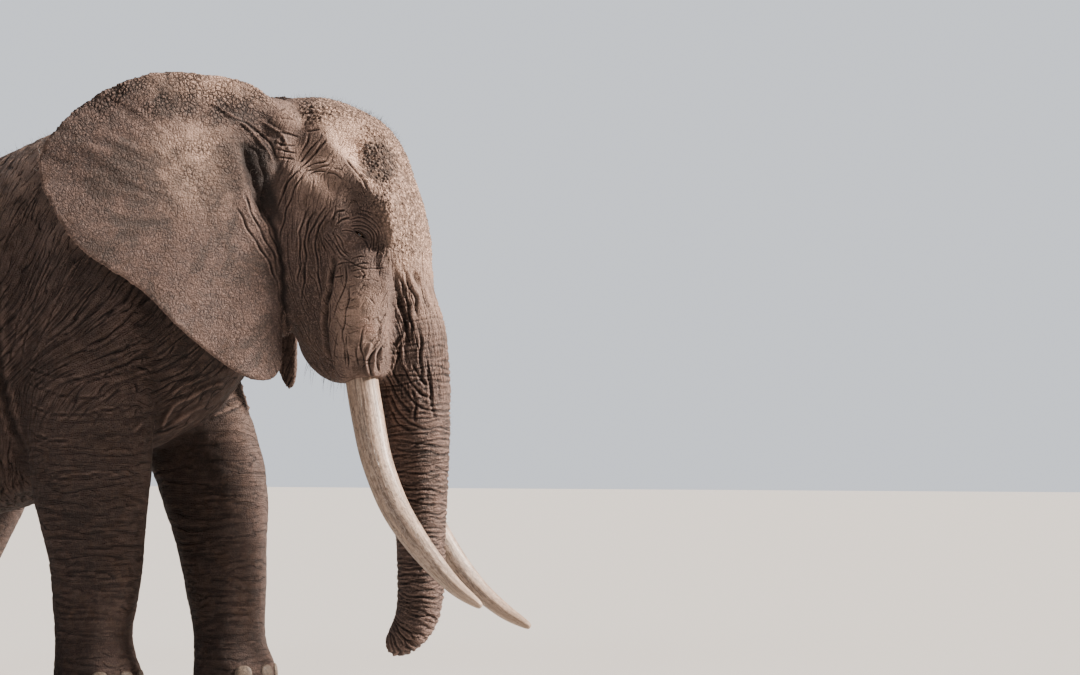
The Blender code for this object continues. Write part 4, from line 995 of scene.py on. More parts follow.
def tint(factor, a, b):     # mixes two colours
    a, b = (value if isSocket(value) else (*value, 1) for value in (a, b))
    return addNode(factor.id_data, "ShaderNodeMix", {0: factor, 6: a, 7: b}, data_type="RGBA").outputs[2]


def noise(vector, scale, detail=2.0, rough=.5, warp=0.0):
    return addNode(vector.id_data, "ShaderNodeTexNoise", {"Vector": vector, "Scale": scale, "Detail": detail,
                                                          "Roughness": rough, "Distortion": warp}).outputs[0]


def voronoi(vector, scale, feature="DISTANCE_TO_EDGE"):
    return addNode(vector.id_data, "ShaderNodeTexVoronoi", {"Vector": vector, "Scale": scale},
                   feature=feature).outputs


def newGroup(name, kind, ins, outs):        # ins and outs are rows of a name and a kind of socket
    group = bpy.data.node_groups.new(name, kind)
    for inOut, sockets in (("INPUT", ins), ("OUTPUT", outs)):
        for label, socketKind in sockets:
            group.interface.new_socket(label, in_out=inOut, socket_type="NodeSocket" + socketKind)
    return group, group.nodes.new("NodeGroupInput").outputs, group.nodes.new("NodeGroupOutput").inputs


def place(tree, group, **inputs):
    kind = "ShaderNodeGroup" if tree.bl_idname == "ShaderNodeTree" else "GeometryNodeGroup"
    return addNode(tree, kind, inputs, node_tree=group).outputs


def putOut(outs, **values):     # joins values to a group's outputs
    for name, value in values.items():
        value.id_data.links.new(value, outs[name])


# The same two patterns are pressed into the mesh and painted by the finish, so each can be made for both.
groupUse = {"GeometryNodeTree": "Shape", "ShaderNodeTree": "Finish"}


def crackGroup(kind):       # 1 in the gaps between cells, and on creases that run along the flow
    group, ins, outs = newGroup("hideCracks" + groupUse[kind], kind,
                                [("Flow", "Vector"), ("Place", "Vector"), ("Warp", "Float"), ("Width", "Float"),
                                 ("FineScale", "Float")],
                                [("Coarse", "Float"), ("Fine", "Float"), ("Long", "Float"), ("Thin", "Float")])
    given, width = ins["Flow"], ins["Width"]
    wobble = addNode(group, "ShaderNodeTexNoise", {"Vector": given, "Scale": .75, "Detail": 2.0}).outputs["Color"]
    flow = vectorMaths("ADD", given, scaled(vectorMaths("SUBTRACT", wobble, (.5, .5, .5)), ins["Warp"]))
    patchy = remap(noise(given, .23, 1.0), .36, .60, .30, 1.0)
    coarse = remap(voronoi(flow, 1.0)["Distance"], 0, width, 1, 0)
    fine = remap(voronoi(ins["Place"], ins["FineScale"])["Distance"], 0, times(width, 1.5), 1, 0)

    def creases(many, shift, drift):        # evenly thin lines, bent and broken by slow noise
        slow = vectorMaths("ADD", vectorMaths("MULTIPLY", given, (.22, .20, .30)), (shift, 0, 0))
        bent = times(maths("SUBTRACT", noise(slow, 1.0, 2.5, .55), .5), drift)
        across = addNode(group, "ShaderNodeSeparateXYZ", {0: flow}).outputs[1]
        wave = maths("FRACT", maths("ADD", times(across, many), bent))
        edge = maths("ABSOLUTE", timesPlus(wave, 2.0, -1.0))
        line = remap(edge, maths("SUBTRACT", 1.0, times(width, 1.3)), 1.0)
        gate = vectorMaths("ADD", vectorMaths("MULTIPLY", given, (.55, 1.05, .6)), (0, shift, 5))
        return times(line, remap(noise(gate, 1.0, 1.0), .44, .58))

    putOut(outs, Coarse=times(coarse, patchy), Fine=fine,
           Long=most(creases(.55, 1.7, 5.0), times(creases(.80, 9.3, 6.0), .8)),
           Thin=most(creases(1.7, 4.1, 8.0), creases(2.3, 13.9, 9.0)))
    return group


def grainGroup(kind):       # round grains standing side by side
    group, ins, outs = newGroup("hideGrains" + groupUse[kind], kind, [("Place", "Vector"), ("Scale", "Float")],
                                [("Height", "Float"), ("Tone", "Float")])
    cells = voronoi(ins["Place"], ins["Scale"], "F1")
    tone = cells["Distance"]
    if kind == "ShaderNodeTree":
        tone = addNode(group, "ShaderNodeSeparateColor", {0: cells["Color"]}).outputs[0]
    putOut(outs, Height=remap(cells["Distance"], .08, .62, 1, 0), Tone=tone)
    return group


def dustGroup():        # uneven dust and stains over any finish: two sizes of cloud and fine specks
    group, ins, outs = newGroup("dust", "ShaderNodeTree", [("Place", "Vector"), ("Size", "Float")],
                                [("Clouds", "Float"), ("Patches", "Float"), ("Specks", "Float")])
    spot = scaled(ins["Place"], ins["Size"])
    putOut(outs, Clouds=remap(noise(spot, 1.0, 4.0, .58), .34, .68),
           Patches=remap(noise(spot, 5.5, 4.0, .62, .6), .36, .66),
           Specks=remap(noise(spot, 70.0, 2.0, .7), .42, .66))
    return group


def readLayer(tree, name, vector=False):
    if tree.bl_idname == "GeometryNodeTree":
        return addNode(tree, "GeometryNodeInputNamedAttribute", {"Name": name},
                       data_type="FLOAT_VECTOR" if vector else "FLOAT").outputs["Attribute"]
    node = addNode(tree, "ShaderNodeAttribute", attribute_type="GEOMETRY", attribute_name=name)
    return node.outputs["Vector" if vector else "Fac"]


# The cell pattern: how bent, how wide its gaps are in the mesh and in the finish, the scale and share of the
# large creases, and the size of the finest cells and grains.
relieves = {"warp": .85, "width": .24, "line": .165, "large": .27, "largeWarp": 1.3, "largeWidth": .20,
            "largeShare": .5, "fineScale": 78.0, "grain": 56.0, "grainHeight": .0075, "rough": 1.6}


def wrinkleSkin(skin):      # pushes the cell pattern into the mesh itself
    cracks, grains = crackGroup("GeometryNodeTree"), grainGroup("GeometryNodeTree")
    geometry = [("Geometry", "Geometry")]
    tree, start, end = newGroup("wrinkleSkin", "GeometryNodeTree", geometry, geometry)
    cells, close, depth = (readLayer(tree, name) for name in ("cells", "close", "depth"))
    heights = []
    for layer in ("flowA", "flowB"):
        flow = readLayer(tree, layer, True)
        near = place(tree, cracks, Flow=flow, Warp=relieves["warp"], Width=relieves["width"])
        far = place(tree, cracks, Flow=scaled(flow, relieves["large"]), Warp=relieves["largeWarp"],
                    Width=relieves["largeWidth"])
        total = timesPlus(near["Long"], timesPlus(cells, -.5, 1.0), times(near["Coarse"], cells))
        heights.append(timesPlus(far["Long"], relieves["largeShare"], times(total, close)))
    height = times(blend(readLayer(tree, "flowMix"), *heights), depth)
    spot = addNode(tree, "GeometryNodeInputPosition").outputs[0]
    grain = times(place(tree, grains, Place=spot, Scale=relieves["grain"])["Height"], readLayer(tree, "pebble"),
                  relieves["grainHeight"])
    rough = times(maths("SUBTRACT", noise(spot, 9.0, 3.0), .5), times(depth, relieves["rough"]))
    push = maths("ADD", maths("SUBTRACT", grain, height), rough)
    offset = scaled(addNode(tree, "GeometryNodeInputNormal").outputs[0], push)
    moved = addNode(tree, "GeometryNodeSetPosition", {"Geometry": start[0], "Offset": offset})
    tree.links.new(moved.outputs[0], end[0])
    skin.modifiers.new("wrinkles", "NODES").node_group = tree
    bake(skin)


def storeCavity(mesh):      # how hollow (+) or proud (-) the skin is, for dirt with painted shade in hollows and dust with a painted highlight on proud skin
    points, normals, edges = readPoints(mesh), readNormals(mesh), readEdges(mesh)
    lengths = np.linalg.norm(points[edges[:, 0]] - points[edges[:, 1]], axis=1)
    size = np.bincount(edges.ravel(), np.repeat(lengths, 2), len(points))
    size /= np.bincount(edges.ravel(), minlength=len(points)).clip(1)
    neighbours, softened = averager(mesh), points
    for _ in range(3):
        softened = neighbours(softened)
    hollow = ((softened - points) * normals).sum(1) / size
    store(mesh, "cavity", np.clip(hollow * 2.2, -1, 1))


def newMaterial(name, **settings):
    material = bpy.data.materials.new(name)
    material.use_nodes = True
    shader = material.node_tree.nodes["Principled BSDF"]
    for key, value in settings.items():
        shader.inputs[key].default_value = value
    return material, material.node_tree, shader


def spotOf(tree):
    return addNode(tree, "ShaderNodeTexCoord").outputs["Object"]


def bumpOn(height, distance, strength=1.0, **under):
    inputs = {"Height": height, "Distance": distance, "Strength": strength, **under}
    return addNode(height.id_data, "ShaderNodeBump", inputs).outputs["Normal"]


def finish(shader, colour, rough=None, normal=None):
    for name, value in (("Base Color", colour), ("Roughness", rough), ("Normal", normal)):
        if value is not None:
            value.id_data.links.new(value, shader.inputs[name])


# shade is the colour of painted shade, crease that of dirt and painted shade in creases, and pale that of pale dust
# and skin and of painted light on the brow, jowl and back.
hideLook = {
    "dark": (.042, .027, .023), "middle": (.095, .061, .052), "dusty": (.290, .190, .155),
    "crease": (.007, .004, .0035), "ear": (.045, .030, .027), "shade": (.015, .010, .009),
    "scuff": (.050, .030, .022), "browPatch": (.070, .054, .047), "pink": (.36, .20, .155), "wet": (.018, .012, .010),
    "pale": (.90, .60, .455), "patch": (.040, .029, .025), "tan": (.36, .235, .175),
    "rough": (.94, .74, .25), "bump": .0055, "grit": .0022, "gritScale": 190.0,       # rough: dusty, clean, wet
}


def hideMaterial(dust):
    look = hideLook
    material, tree, shader = newMaterial("elephantHide", **{"Specular IOR Level": .28})
    spot = spotOf(tree)
    cracks, grains = crackGroup("ShaderNodeTree"), grainGroup("ShaderNodeTree")
    mix, fold, cavity, ear, head, onTrunk, pebble, pink, wet, cells, lines = (readLayer(tree, name) for name in (
        "flowMix", "fold", "cavity", "earMask", "headMask", "trunkMask", "pebble", "pink", "wet", "cells", "lines"))
    pair = [place(tree, cracks, Flow=readLayer(tree, layer, True), Place=spot, Warp=relieves["warp"],
                  Width=relieves["line"], FineScale=relieves["fineScale"]) for layer in ("flowA", "flowB")]
    coarse, run, thin = (blend(mix, pair[0][name], pair[1][name]) for name in ("Coarse", "Long", "Thin"))
    coarse = most(times(coarse, cells), times(run, timesPlus(cells, -.5, 1.0)))
    thin = times(thin, readLayer(tree, "thin"))
    fine = pair[0]["Fine"]
    grain = place(tree, grains, Place=spot, Scale=relieves["grain"])
    film = place(tree, dust, Place=spot, Size=2.6)
    patches, mottle = film["Patches"], noise(spot, 95.0, 3.0, .75)
    openShare = timesPlus(most(ear, head, onTrunk), .8, .2)
    # pale holds pale dust and colour, with painted light on the brow, jowl and back.
    paleArea = times(readLayer(tree, "pale"), blend(patches, .68, 1.0))
    scuffs = remap(noise(spot, 7.0, 6.0, .72, 1.0), .52, .64, 0, .80)
    stains = remap(noise(vectorMaths("ADD", spot, (3.1, 0, 1.7)), 2.3, 6.0, .66, .6), .485, .58, 0, .85)
    stains = times(stains, timesPlus(paleArea, -1.1, 1.0, clamp=True))
    fineShare = timesPlus(times(paleArea, head), .5, times(lines, timesPlus(cells, .45, .12)))
    # Painted shade and dirt in the hollows, cracks, folds and the gaps between grains.
    creaseShadeAndDirt = most(times(maths("MAXIMUM", cavity, 0.0), .95, clamp=True), times(coarse, lines), times(fine, fineShare),
                times(thin, .9), times(remap(grain["Height"], .38, .12), times(pebble, .75)))
    creaseShadeAndDirt = most(creaseShadeAndDirt, times(fold, .88), clamp=True)
    base = tint(film["Clouds"], look["dark"], look["middle"])
    for share, coat in (        # laid one over another
            (times(patches, .45, openShare), "dusty"), (times(most(ear, head), .60), "ear"), (paleArea, "pale"),
            # painted shade, with a stain on the ear
            (times(readLayer(tree, "shadeAndStains"), .75), "shade"), (times(pebble, times(grain["Tone"], .85)), "tan"),
            (times(remap(mottle, .50, .66, 0, .45), openShare), "dusty"),
            (times(remap(mottle, .47, .34, 0, .60), openShare), "dark"),
            (times(scuffs, timesPlus(paleArea, -1.7, 1.0, clamp=True)), "scuff"),
            (times(stains, timesPlus(ear, .75, .25)), "patch"),
            (times(readLayer(tree, "browPatch"), remap(grain["Tone"], .1, .9, .95, .45)), "browPatch"),
            # dust with a painted highlight on proud skin
            (times(maths("MAXIMUM", times(cavity, -1.0), 0.0), .55, clamp=True), "dusty"),
            (times(pink, patches), "pink"), (creaseShadeAndDirt, "crease"), (wet, "wet")):
        base = tint(share, base, look[coat])
    dusty, clean, shiny = look["rough"]
    rough = addNode(tree, "ShaderNodeMapRange", {"Value": patches, "To Min": clean, "To Max": dusty}).outputs[0]
    height = timesPlus(thin, -.7, timesPlus(coarse, -1.0, times(fine, -.40)))
    height = times(height, timesPlus(lines, 1.5, .25))
    height = timesPlus(times(grain["Height"], pebble), .8, height)
    grit = timesPlus(mottle, 1.2, voronoi(spot, look["gritScale"], "F1")["Distance"])
    normal = bumpOn(grit, look["grit"], .8, Normal=bumpOn(height, look["bump"]))
    finish(shader, base, blend(wet, rough, shiny), normal)
    return material


ivoryLook = {"cream": (.47, .345, .265), "warm": (.30, .205, .150), "stain": (.080, .050, .036),
             "crack": (.045, .027, .018), "tip": (.30, .21, .145), "worn": (.62, .51, .43), "rough": (.36, .62),
             "bump": .0016}


def ivoryMaterial(dust):
    look = ivoryLook
    material, tree, shader = newMaterial("tuskIvory", **{"Specular IOR Level": .45})
    along = readLayer(tree, "along", True)      # round, round, length
    length = readLayer(tree, "share")
    film = place(tree, dust, Place=spotOf(tree), Size=7.0)

    def grained(stretch, *settings):        # noise drawn out along the tusk
        return noise(vectorMaths("MULTIPLY", along, stretch), 1.0, *settings)

    streak, fineStreak = grained((9, 9, 1.1), 5.0, .62), grained((34, 34, 2.2), 4.0, .6)
    blotch = grained((3.2, 3.2, 2.6), 6.0, .68, .8)
    speck = remap(grained((8, 8, 30), 5.0, .72, .6), .50, .60, 0, .75)
    scratch = maths("ABSOLUTE", maths("SUBTRACT", grained((7, 7, 13), 5.0, .7, 1.2), .5))
    worn = times(remap(scratch, 0, .035, 1, 0), remap(blotch, .36, .52), remap(length, .15, .4, .15, .75))
    lines = voronoi(vectorMaths("MULTIPLY", along, (11, 11, .9)), 1.0)["Distance"]
    crack = times(remap(lines, 0, .035, 1, 0), remap(streak, .5, .6))
    base = tint(remap(streak, .36, .62), look["warm"], look["cream"])
    for share, coat in ((times(remap(fineStreak, .52, .70), .55), "stain"),
                        (remap(blotch, .46, .60, 0, .80), "stain"),
                        (times(speck, remap(length, .08, .25, .35, 1)), "stain"), (worn, "worn"),
                        (times(film["Patches"], .35), "stain"), (remap(length, .80, 1.0, 0, .45), "tip"),
                        (remap(length, .15, .085, 0, .25), "stain"), (times(crack, .7), "crack")):
        base = tint(share, base, look[coat])
    height = timesPlus(crack, -1.0, times(fineStreak, .8))
    finish(shader, base, remap(fineStreak, .4, .66, *look["rough"]), bumpOn(height, look["bump"], .8))
    return material


nailLook = {"dark": (.060, .044, .034), "pale": (.170, .128, .098), "ridge": (.035, .025, .020),
            "dust": (.24, .19, .15), "rough": (.5, .8)}


def nailMaterial(dust):
    look = nailLook
    material, tree, shader = newMaterial("nailHorn", **{"Specular IOR Level": .35})
    film = place(tree, dust, Place=spotOf(tree), Size=16.0)
    ridges = noise(vectorMaths("MULTIPLY", spotOf(tree), (150, 150, 12)), 1.0, 3.0)
    base = tint(film["Patches"], look["dark"], look["pale"])
    base = tint(remap(ridges, .5, .7, 0, .5), base, look["ridge"])
    base = tint(times(film["Specks"], .3), base, look["dust"])
    finish(shader, base, remap(film["Patches"], 0, 1, *look["rough"]), bumpOn(ridges, .002, .7))
    return material


eyeLook = {"rim": (.030, .019, .014), "iris": (.060, .028, .010), "spoke": (.020, .010, .004),
           "pupil": (.002, .0015, .001)}


def eyeMaterial():
    look = eyeLook
    material, tree, shader = newMaterial("eyeBall", **{"Coat Weight": 1.0, "Coat Roughness": .04, "Roughness": .18})
    facing = readLayer(tree, "iris")
    spokes = noise(scaled(spotOf(tree), 420.0), 1.0, 3.0)
    base = tint(remap(facing, .55, .80), look["rim"], look["iris"])
    base = tint(remap(spokes, .35, .7, 0, .5), base, look["spoke"])
    finish(shader, tint(remap(facing, .945, .960), base, look["pupil"]))
    return material


hairLook = {"dark": (.010, .007, .006), "dusty": (.060, .043, .034), "rough": (.38, .60)}


def hairMaterial(dust):
    look = hairLook
    material, tree, shader = newMaterial("bristle", **{"Specular IOR Level": .5})
    film = place(tree, dust, Place=spotOf(tree), Size=30.0)
    finish(shader, tint(film["Patches"], look["dark"], look["dusty"]), remap(film["Clouds"], 0, 1, *look["rough"]))
    return material


# The tusks: cuts round and along, radius at the lip and the tip, how the taper runs, how fluted and worn.
tuskShape = {"sides": 56, "rings": 190, "lip": .0952, "tip": .0195, "taper": (2.1, .72), "flute": .0011,
             "wear": .0016, "point": ((.93, .25), (.80, .45), (.58, .62), (.30, .74))}
tuskPaths = {
    -1: ((1.478, .280, 1.98), (1.478, .284, 1.80), (1.532, .330, 1.54), (1.60, .395, 1.31), (1.705, .455, 1.08),
         (1.82, .500, .91), (1.95, .530, .755), (2.085, .540, .615), (2.225, .535, .510)),
    1: ((1.478, .280, 1.98), (1.478, .284, 1.80), (1.530, .330, 1.51), (1.59, .395, 1.24), (1.68, .450, .99),
        (1.80, .500, .765), (1.945, .530, .575), (2.11, .545, .43), (2.27, .540, .335)),
}


def makeTusk(side, material):
    shape = tuskShape
    line = smoothRows(tuskPaths[side], 40) * (1, side, 1)
    travelled = distances(line)
    even = np.linspace(0, 1, shape["rings"])
    path = np.stack([np.interp(even * travelled[-1], travelled, line[:, k]) for k in range(3)], 1)
    station = np.interp(even * travelled[-1], travelled, np.linspace(0, 1, len(line)))      # the taper follows these
    tangent = unit(np.gradient(path, axis=0))
    across = unit(leftward - tangent * (tangent @ leftward)[:, None])
    over = np.cross(tangent, across)
    radius = shape["tip"] + (shape["lip"] - shape["tip"]) * (1 - station ** shape["taper"][0]) ** shape["taper"][1]
    rng = np.random.default_rng(20 + side)
    angle = np.arange(shape["sides"]) * math.tau / shape["sides"]
    flute = sum(rng.uniform(-1, 1) * np.sin(k * angle + rng.uniform(0, 6)) for k in (3, 5, 7, 11))
    wear = sum(rng.uniform(-1, 1) * np.sin(k * even * 9 + rng.uniform(0, 6)) / k for k in (1, 2, 3, 5))
    flute, wear = flute * shape["flute"], wear * shape["wear"]
    rings = []
    for i in range(len(path)):
        size = (radius[i] + (flute + wear[i]) * min(1, radius[i] / .05))[:, None]
        rings.append(path[i] + np.cos(angle)[:, None] * size * across[i] + np.sin(angle)[:, None] * size * over[i])
    last = rings[-1] - path[-1]
    rings += [path[-1] + tangent[-1] * shape["tip"] * reach + last * grow for grow, reach in shape["point"]]
    points, faces = loft(rings)
    tusk = meshObject("tusk_%s_ivory" % sideNames[side], headToBody(points), faces)
    turns = np.tile(np.stack([np.cos(angle), np.sin(angle)], 1), (len(rings), 1))
    length = np.repeat(np.append(even, [1, 1, 1, 1]), shape["sides"])
    store(tusk.data, "along", np.column_stack([turns, length * travelled[-1]]))
    store(tusk.data, "share", length)
    finishPiece(tusk, material, "ivory", "tusk_" + sideNames[side])


def finishPiece(thing, material, slot, *nodes):     # nodes are the CAD nodes that the piece stands for
    thing.data.transform(Matrix.Translation(Vector(bodyShift)))
    thing.data.materials.clear()
    thing.data.materials.append(material)
    thing.data.shade_smooth()
    if nodes:
        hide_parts(*nodes)
    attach(thing, "root")


eyeBall = {"look": (.25, .95, -.10), "cornea": .035}       # which way it looks, how proud the cornea stands


def makeEye(side, material):
    eye = plainObject("eye_%s_ball" % sideNames[side], bmesh.ops.create_uvsphere,
                      u_segments=56, v_segments=36, radius=lids["ball"])
    x, y, z = eyeBall["look"]
    points = readPoints(eye.data)
    facing = unit(points) @ unit(headWay(x, side * y, z))
    points *= (1 + eyeBall["cornea"] * ramp(facing, .80, 1.0))[:, None]
    store(eye.data, "iris", facing)
    writePoints(eye.data, points + eyeCentres[side])
    finishPiece(eye, material, "eye", "eye_" + sideNames[side])


# Nails: the degrees they stand round the foot, and their depth, width and height.
nails = {"front": {"angles": (-62, -24, 14, 54), "size": (.0205, .052, .046)},
         "hind": {"angles": (-42, 0, 42), "size": (.0185, .046, .042)}}
nailShape = {"centre": .058, "sunk": .008, "lowest": -.044, "square": 2.5, "ridges": 420}


def makeNails(material):
    for kind, row in nails.items():
        for side in (1, -1):
            for number, degrees in enumerate(row["angles"], start=1):
                node = "nail_%s_%s_%d" % (kind, sideNames[side], number)
                angle = math.radians(-side * degrees)
                out = np.array([math.cos(angle), math.sin(angle), 0])
                across = np.array([-out[1], out[0], 0])
                centre = np.array(sum(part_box(node), Vector()) / 2) - bodyShift
                centre[2] = nailShape["centre"]
                nail = plainObject(node + "_horn", bmesh.ops.create_uvsphere,
                                   u_segments=40, v_segments=24, radius=1.0)
                depth, width, height = row["size"]
                deep, wide, tall = power(readPoints(nail.data), nailShape["square"]).T      # squarer than a ball
                up = np.maximum(tall * height, nailShape["lowest"])
                deep = deep * depth * (1 - .25 * tall) * (1 + .03 * np.sin(up * nailShape["ridges"]))
                wide = wide * width * (1 - .10 * tall)
                writePoints(nail.data, centre - out * nailShape["sunk"] + deep[:, None] * out
                            + wide[:, None] * across + up[:, None] * upward)
                finishPiece(nail, material, "nail", node)


def patch(points):      # where a root lies on an unwrap of the skin: left and right side by side
    flat = (points + bodyShift - np.array(cadLow)) / np.array(cadHigh - cadLow)
    u = .02 + .46 * flat[:, 0] + np.where(points[:, 1] > 0, .50, 0)
    return np.stack([u, .02 + .96 * flat[:, 2]], 1)


def strands(name, roots, ways, lengths, radii, droop, rng, segments=5, curl=.15, sides=3):
    count = len(roots)
    ways = unit(ways)
    side = unit(np.cross(ways, unit(rng.normal(size=(count, 3)))))
    over = np.cross(ways, side)
    bend = unit(rng.normal(size=(count, 3))) * curl
    step = (lengths / segments)[:, None]
    spot, way = roots - ways * .004, ways
    rows = []
    for ring in range(segments + 1):
        share = ring / segments
        size = (radii * (1 - .85 * share ** 1.4))[:, None]
        for k in range(sides):
            turn = math.tau * k / sides
            rows.append(spot + size * (math.cos(turn) * side + math.sin(turn) * over))
        way = unit(way + bend * step / .05 * .25 - upward * droop * share * step / .05)
        spot = spot + way * step
    each = sides * (segments + 1)
    one = np.array([face for r in range(segments) for face in ringFaces(r * sides, (r + 1) * sides, sides)])
    quads = (np.arange(count)[:, None, None] * each + one[None]).reshape(-1, 4)
    thing = meshObject(name, np.stack(rows, 1).reshape(-1, 3), quads.tolist())
    layer = thing.data.uv_layers.new(name="OFBake")
    shares = np.tile(np.stack([np.tile(np.arange(sides) / sides, segments + 1),
                               np.repeat(np.arange(segments + 1) / segments, sides)], 1), (count, 1))
    uv = np.repeat(patch(roots), each, 0) + (shares - .5) * .003
    layer.data.foreach_set("uv", uv[quads.ravel()].astype(np.float32).ravel())
    return thing


# The tail's tuft: how many hairs, the height of its root, the length of the root and of the whole,
# and its half width from root to tip.
tuftShape = {"count": 900, "top": 1.30, "root": .14, "length": .40, "half": .072, "flat": .54,
             "drops": (-.05, .06, .18, .32, .42), "shares": (.40, .8, 1.0, .85, .45)}


def makeTuft(material):
    rng = np.random.default_rng(31)
    count, top = tuftShape["count"], tuftShape["top"]
    depth = rng.uniform(0, 1, count)
    angle = rng.uniform(0, math.tau, count)
    start = np.stack([tuftX + .022 * np.cos(angle), .020 * np.sin(angle), top - tuftShape["root"] * depth + .02], 1)
    out = np.stack([np.cos(angle), np.sin(angle) * .55, np.full(count, -2.6)], 1) + rng.normal(size=(count, 3)) * .15
    room = start[:, 2] - (top - tuftShape["length"])
    lengths = np.clip(room * rng.uniform(.75, 1.0, count), .08, .5)
    tuft = strands("tail_tuft_hair", start, out, lengths, rng.uniform(.0012, .0022, count), .45, rng, 8, .22)
    x, y, z = readPoints(tuft.data).T
    half = tuftShape["half"] * np.interp(top - z, tuftShape["drops"], tuftShape["shares"])
    x = tuftX + np.clip((x - tuftX) / half, -1, 1) * half
    y = np.clip(y / (half * tuftShape["flat"]), -1, 1) * half * tuftShape["flat"]
    writePoints(tuft.data, np.stack([x, y, np.maximum(z, top - tuftShape["length"] - .018)], 1))
    finishPiece(tuft, material, "hair", "tail_tuft")


# Sparse bristles: how many, shortest and longest, thickness, droop, and how far they keep to the skin's own way.
coat = {
    "crown": (700, .018, .05, .0007, .35, 1), "trunk": (900, .012, .035, .0006, .35, 1),
    "back": (1500, .02, .06, .0008, .35, 1), "chin": (90, .05, .13, .0009, 1.2, .4),
    "ear": (160, .04, .09, .0007, .35, 1), "tail": (260, .03, .09, .0011, .35, .5),
}


def makeBristles(skin, here, material):
    rng = np.random.default_rng(41)
    points, normals = readPoints(skin.data), readNormals(skin.data)
    x, y, z = here["head"].T
    areas = {
        "crown": here["skull"] * ramp(z, 3.0, 3.3) * (normals[:, 2] > .2),
        "trunk": here["trunk"] * ramp(x, 1.5, 1.75),
        "back": here["torso"] * ramp(normals[:, 2], .1, .7) * (points[:, 2] > 2.3),
        "chin": here["skull"] * ((z < 1.92) & (x > 1.08) & (x < 1.45) & (np.abs(y) < .24)),
        "ear": soft(x, .93, .035, z, 3.0, .09) * (np.abs(y) > .3),
        "tail": here["tail"] * ramp(points[:, 2], 2.0, 1.4) * (np.abs(points[:, 0] - tuftX) > .012),
    }
    for name, (count, short, long, thick, fall, keep) in coat.items():
        chosen = rng.choice(len(points), count, replace=False, p=areas[name] / areas[name].sum())
        ways = normals[chosen] + rng.normal(size=(count, 3)) * .35
        if keep < 1:        # these hang
            ways = ways * keep - upward
        hairs = strands("bristles_" + name, points[chosen], ways, rng.uniform(short, long, count),
                        rng.uniform(.7, 1.2, count) * thick, fall, rng, 4, .3)
        finishPiece(hairs, material, "hair")


lashes = {"count": 46, "length": (.022, .042), "radius": (.00045, .0007), "droop": .5}


def makeLashes(skin, material):
    rng = np.random.default_rng(53)
    points, normals = readPoints(skin.data), readNormals(skin.data)
    count = lashes["count"]
    for side in (1, -1):
        centre, slit, above, out = eyeAxes(side, points, normals)
        a = rng.uniform(-.8, .9, count) * lids["half"]
        edge = lids["up"] * (1 - (np.abs(a) / lids["half"]) ** 2) ** .75
        roots = centre + a[:, None] * slit + (edge + .0015)[:, None] * above + (lids["ball"] + .004) * out
        ways = out + above * .15 - upward * .65 + slit * (a / lids["half"] * .5)[:, None]
        ways = ways + rng.normal(size=(count, 3)) * .12
        hairs = strands("lashes_" + sideNames[side], roots, ways, rng.uniform(*lashes["length"], count),
                        rng.uniform(*lashes["radius"], count), lashes["droop"], rng, 5, .1)
        finishPiece(hairs, material, "hair")


# Light: the sky's strength, how bright the studio wall is seen, and each lamp's way, softness in degrees,
# strength and colour.
lighting = {"sky": .115, "backdrop": 1.1, "wall": (.84, .88, .95), "lamps": {
    "key": ((.82, .27, .50), 11, 18.5, (1, .885, .785)),
    "fill": ((-.25, -.75, .60), 25, .50, (.90, .94, 1)),
    "rim": ((-.55, .35, .75), 30, .8, (.95, .97, 1)),
}}
floorLook = {"colour": (.47, .46, .445, 1), "rough": .9, "half": 60}


def turnTo(thing, way):     # points a lamp or the camera along a direction
    thing.rotation_mode = "QUATERNION"
    thing.rotation_quaternion = Vector(way).to_track_quat("-Z", "Y")


def makeStage():
    floor = plainObject("floor", bmesh.ops.create_grid, x_segments=1, y_segments=1, size=floorLook["half"])
    material, _, _ = newMaterial("paleFloor", **{"Base Color": floorLook["colour"], "Roughness": floorLook["rough"]})
    floor.data.materials.append(material)
    floor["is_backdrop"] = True
    world = bpy.data.worlds.new("studio")
    bpy.context.scene.world = world
    world.use_nodes = True
    tree = world.node_tree      # the studio wall is seen paler than the light it gives
    wall = (*lighting["wall"], 1)
    seen = addNode(tree, "ShaderNodeLightPath").outputs["Is Camera Ray"]
    lit, shown = (addNode(tree, "ShaderNodeBackground", {"Color": wall, "Strength": lighting[key]}).outputs[0]
                  for key in ("sky", "backdrop"))
    both = addNode(tree, "ShaderNodeMixShader", {0: seen, 1: lit, 2: shown})
    tree.links.new(both.outputs[0], tree.nodes["World Output"].inputs["Surface"])
    for name, (way, width, energy, colour) in lighting["lamps"].items():
        lamp = bpy.data.lights.new(name, "SUN")
        lamp.angle, lamp.energy, lamp.color = math.radians(width), energy, colour
        thing = newObject(name, lamp)
        thing.location = Vector(way) * 9
        turnTo(thing, -Vector(way))


view = {"spot": (9.067, -17.983, 1.5), "aim": (-.342, .940), "tilt": math.radians(1.51), "lens": 113.33,
        "sensor": 36.0, "clip": (.1, 200)}


def makeCamera():
    camera = bpy.data.cameras.new("camera")
    camera.sensor_width, camera.lens = view["sensor"], view["lens"]
    camera.clip_start, camera.clip_end = view["clip"]
    thing = newObject("camera", camera)
    thing.location = Vector(np.array(view["spot"]) + bodyShift)
    turnTo(thing, (*view["aim"], math.hypot(*view["aim"]) * math.tan(view["tilt"])))
    bpy.context.scene.camera = thing


# Where the forehead's pale front begins, dusty and with painted light on it: height and X of its edge.
litBrowEdge = ([2.0, 2.2, 2.4, 2.6, 2.7, 2.8, 2.9, 3.0, 3.1, 3.25, 3.45],
            [1.795, 1.749, 1.683, 1.652, 1.635, 1.614, 1.487, 1.397, 1.320, 1.218, 1.154])
armpitEdge = ([1.6, 1.75, 2.16, 2.44], [.42, .387, .19, .018])      # the same for the painted shade in the hollow behind the chest
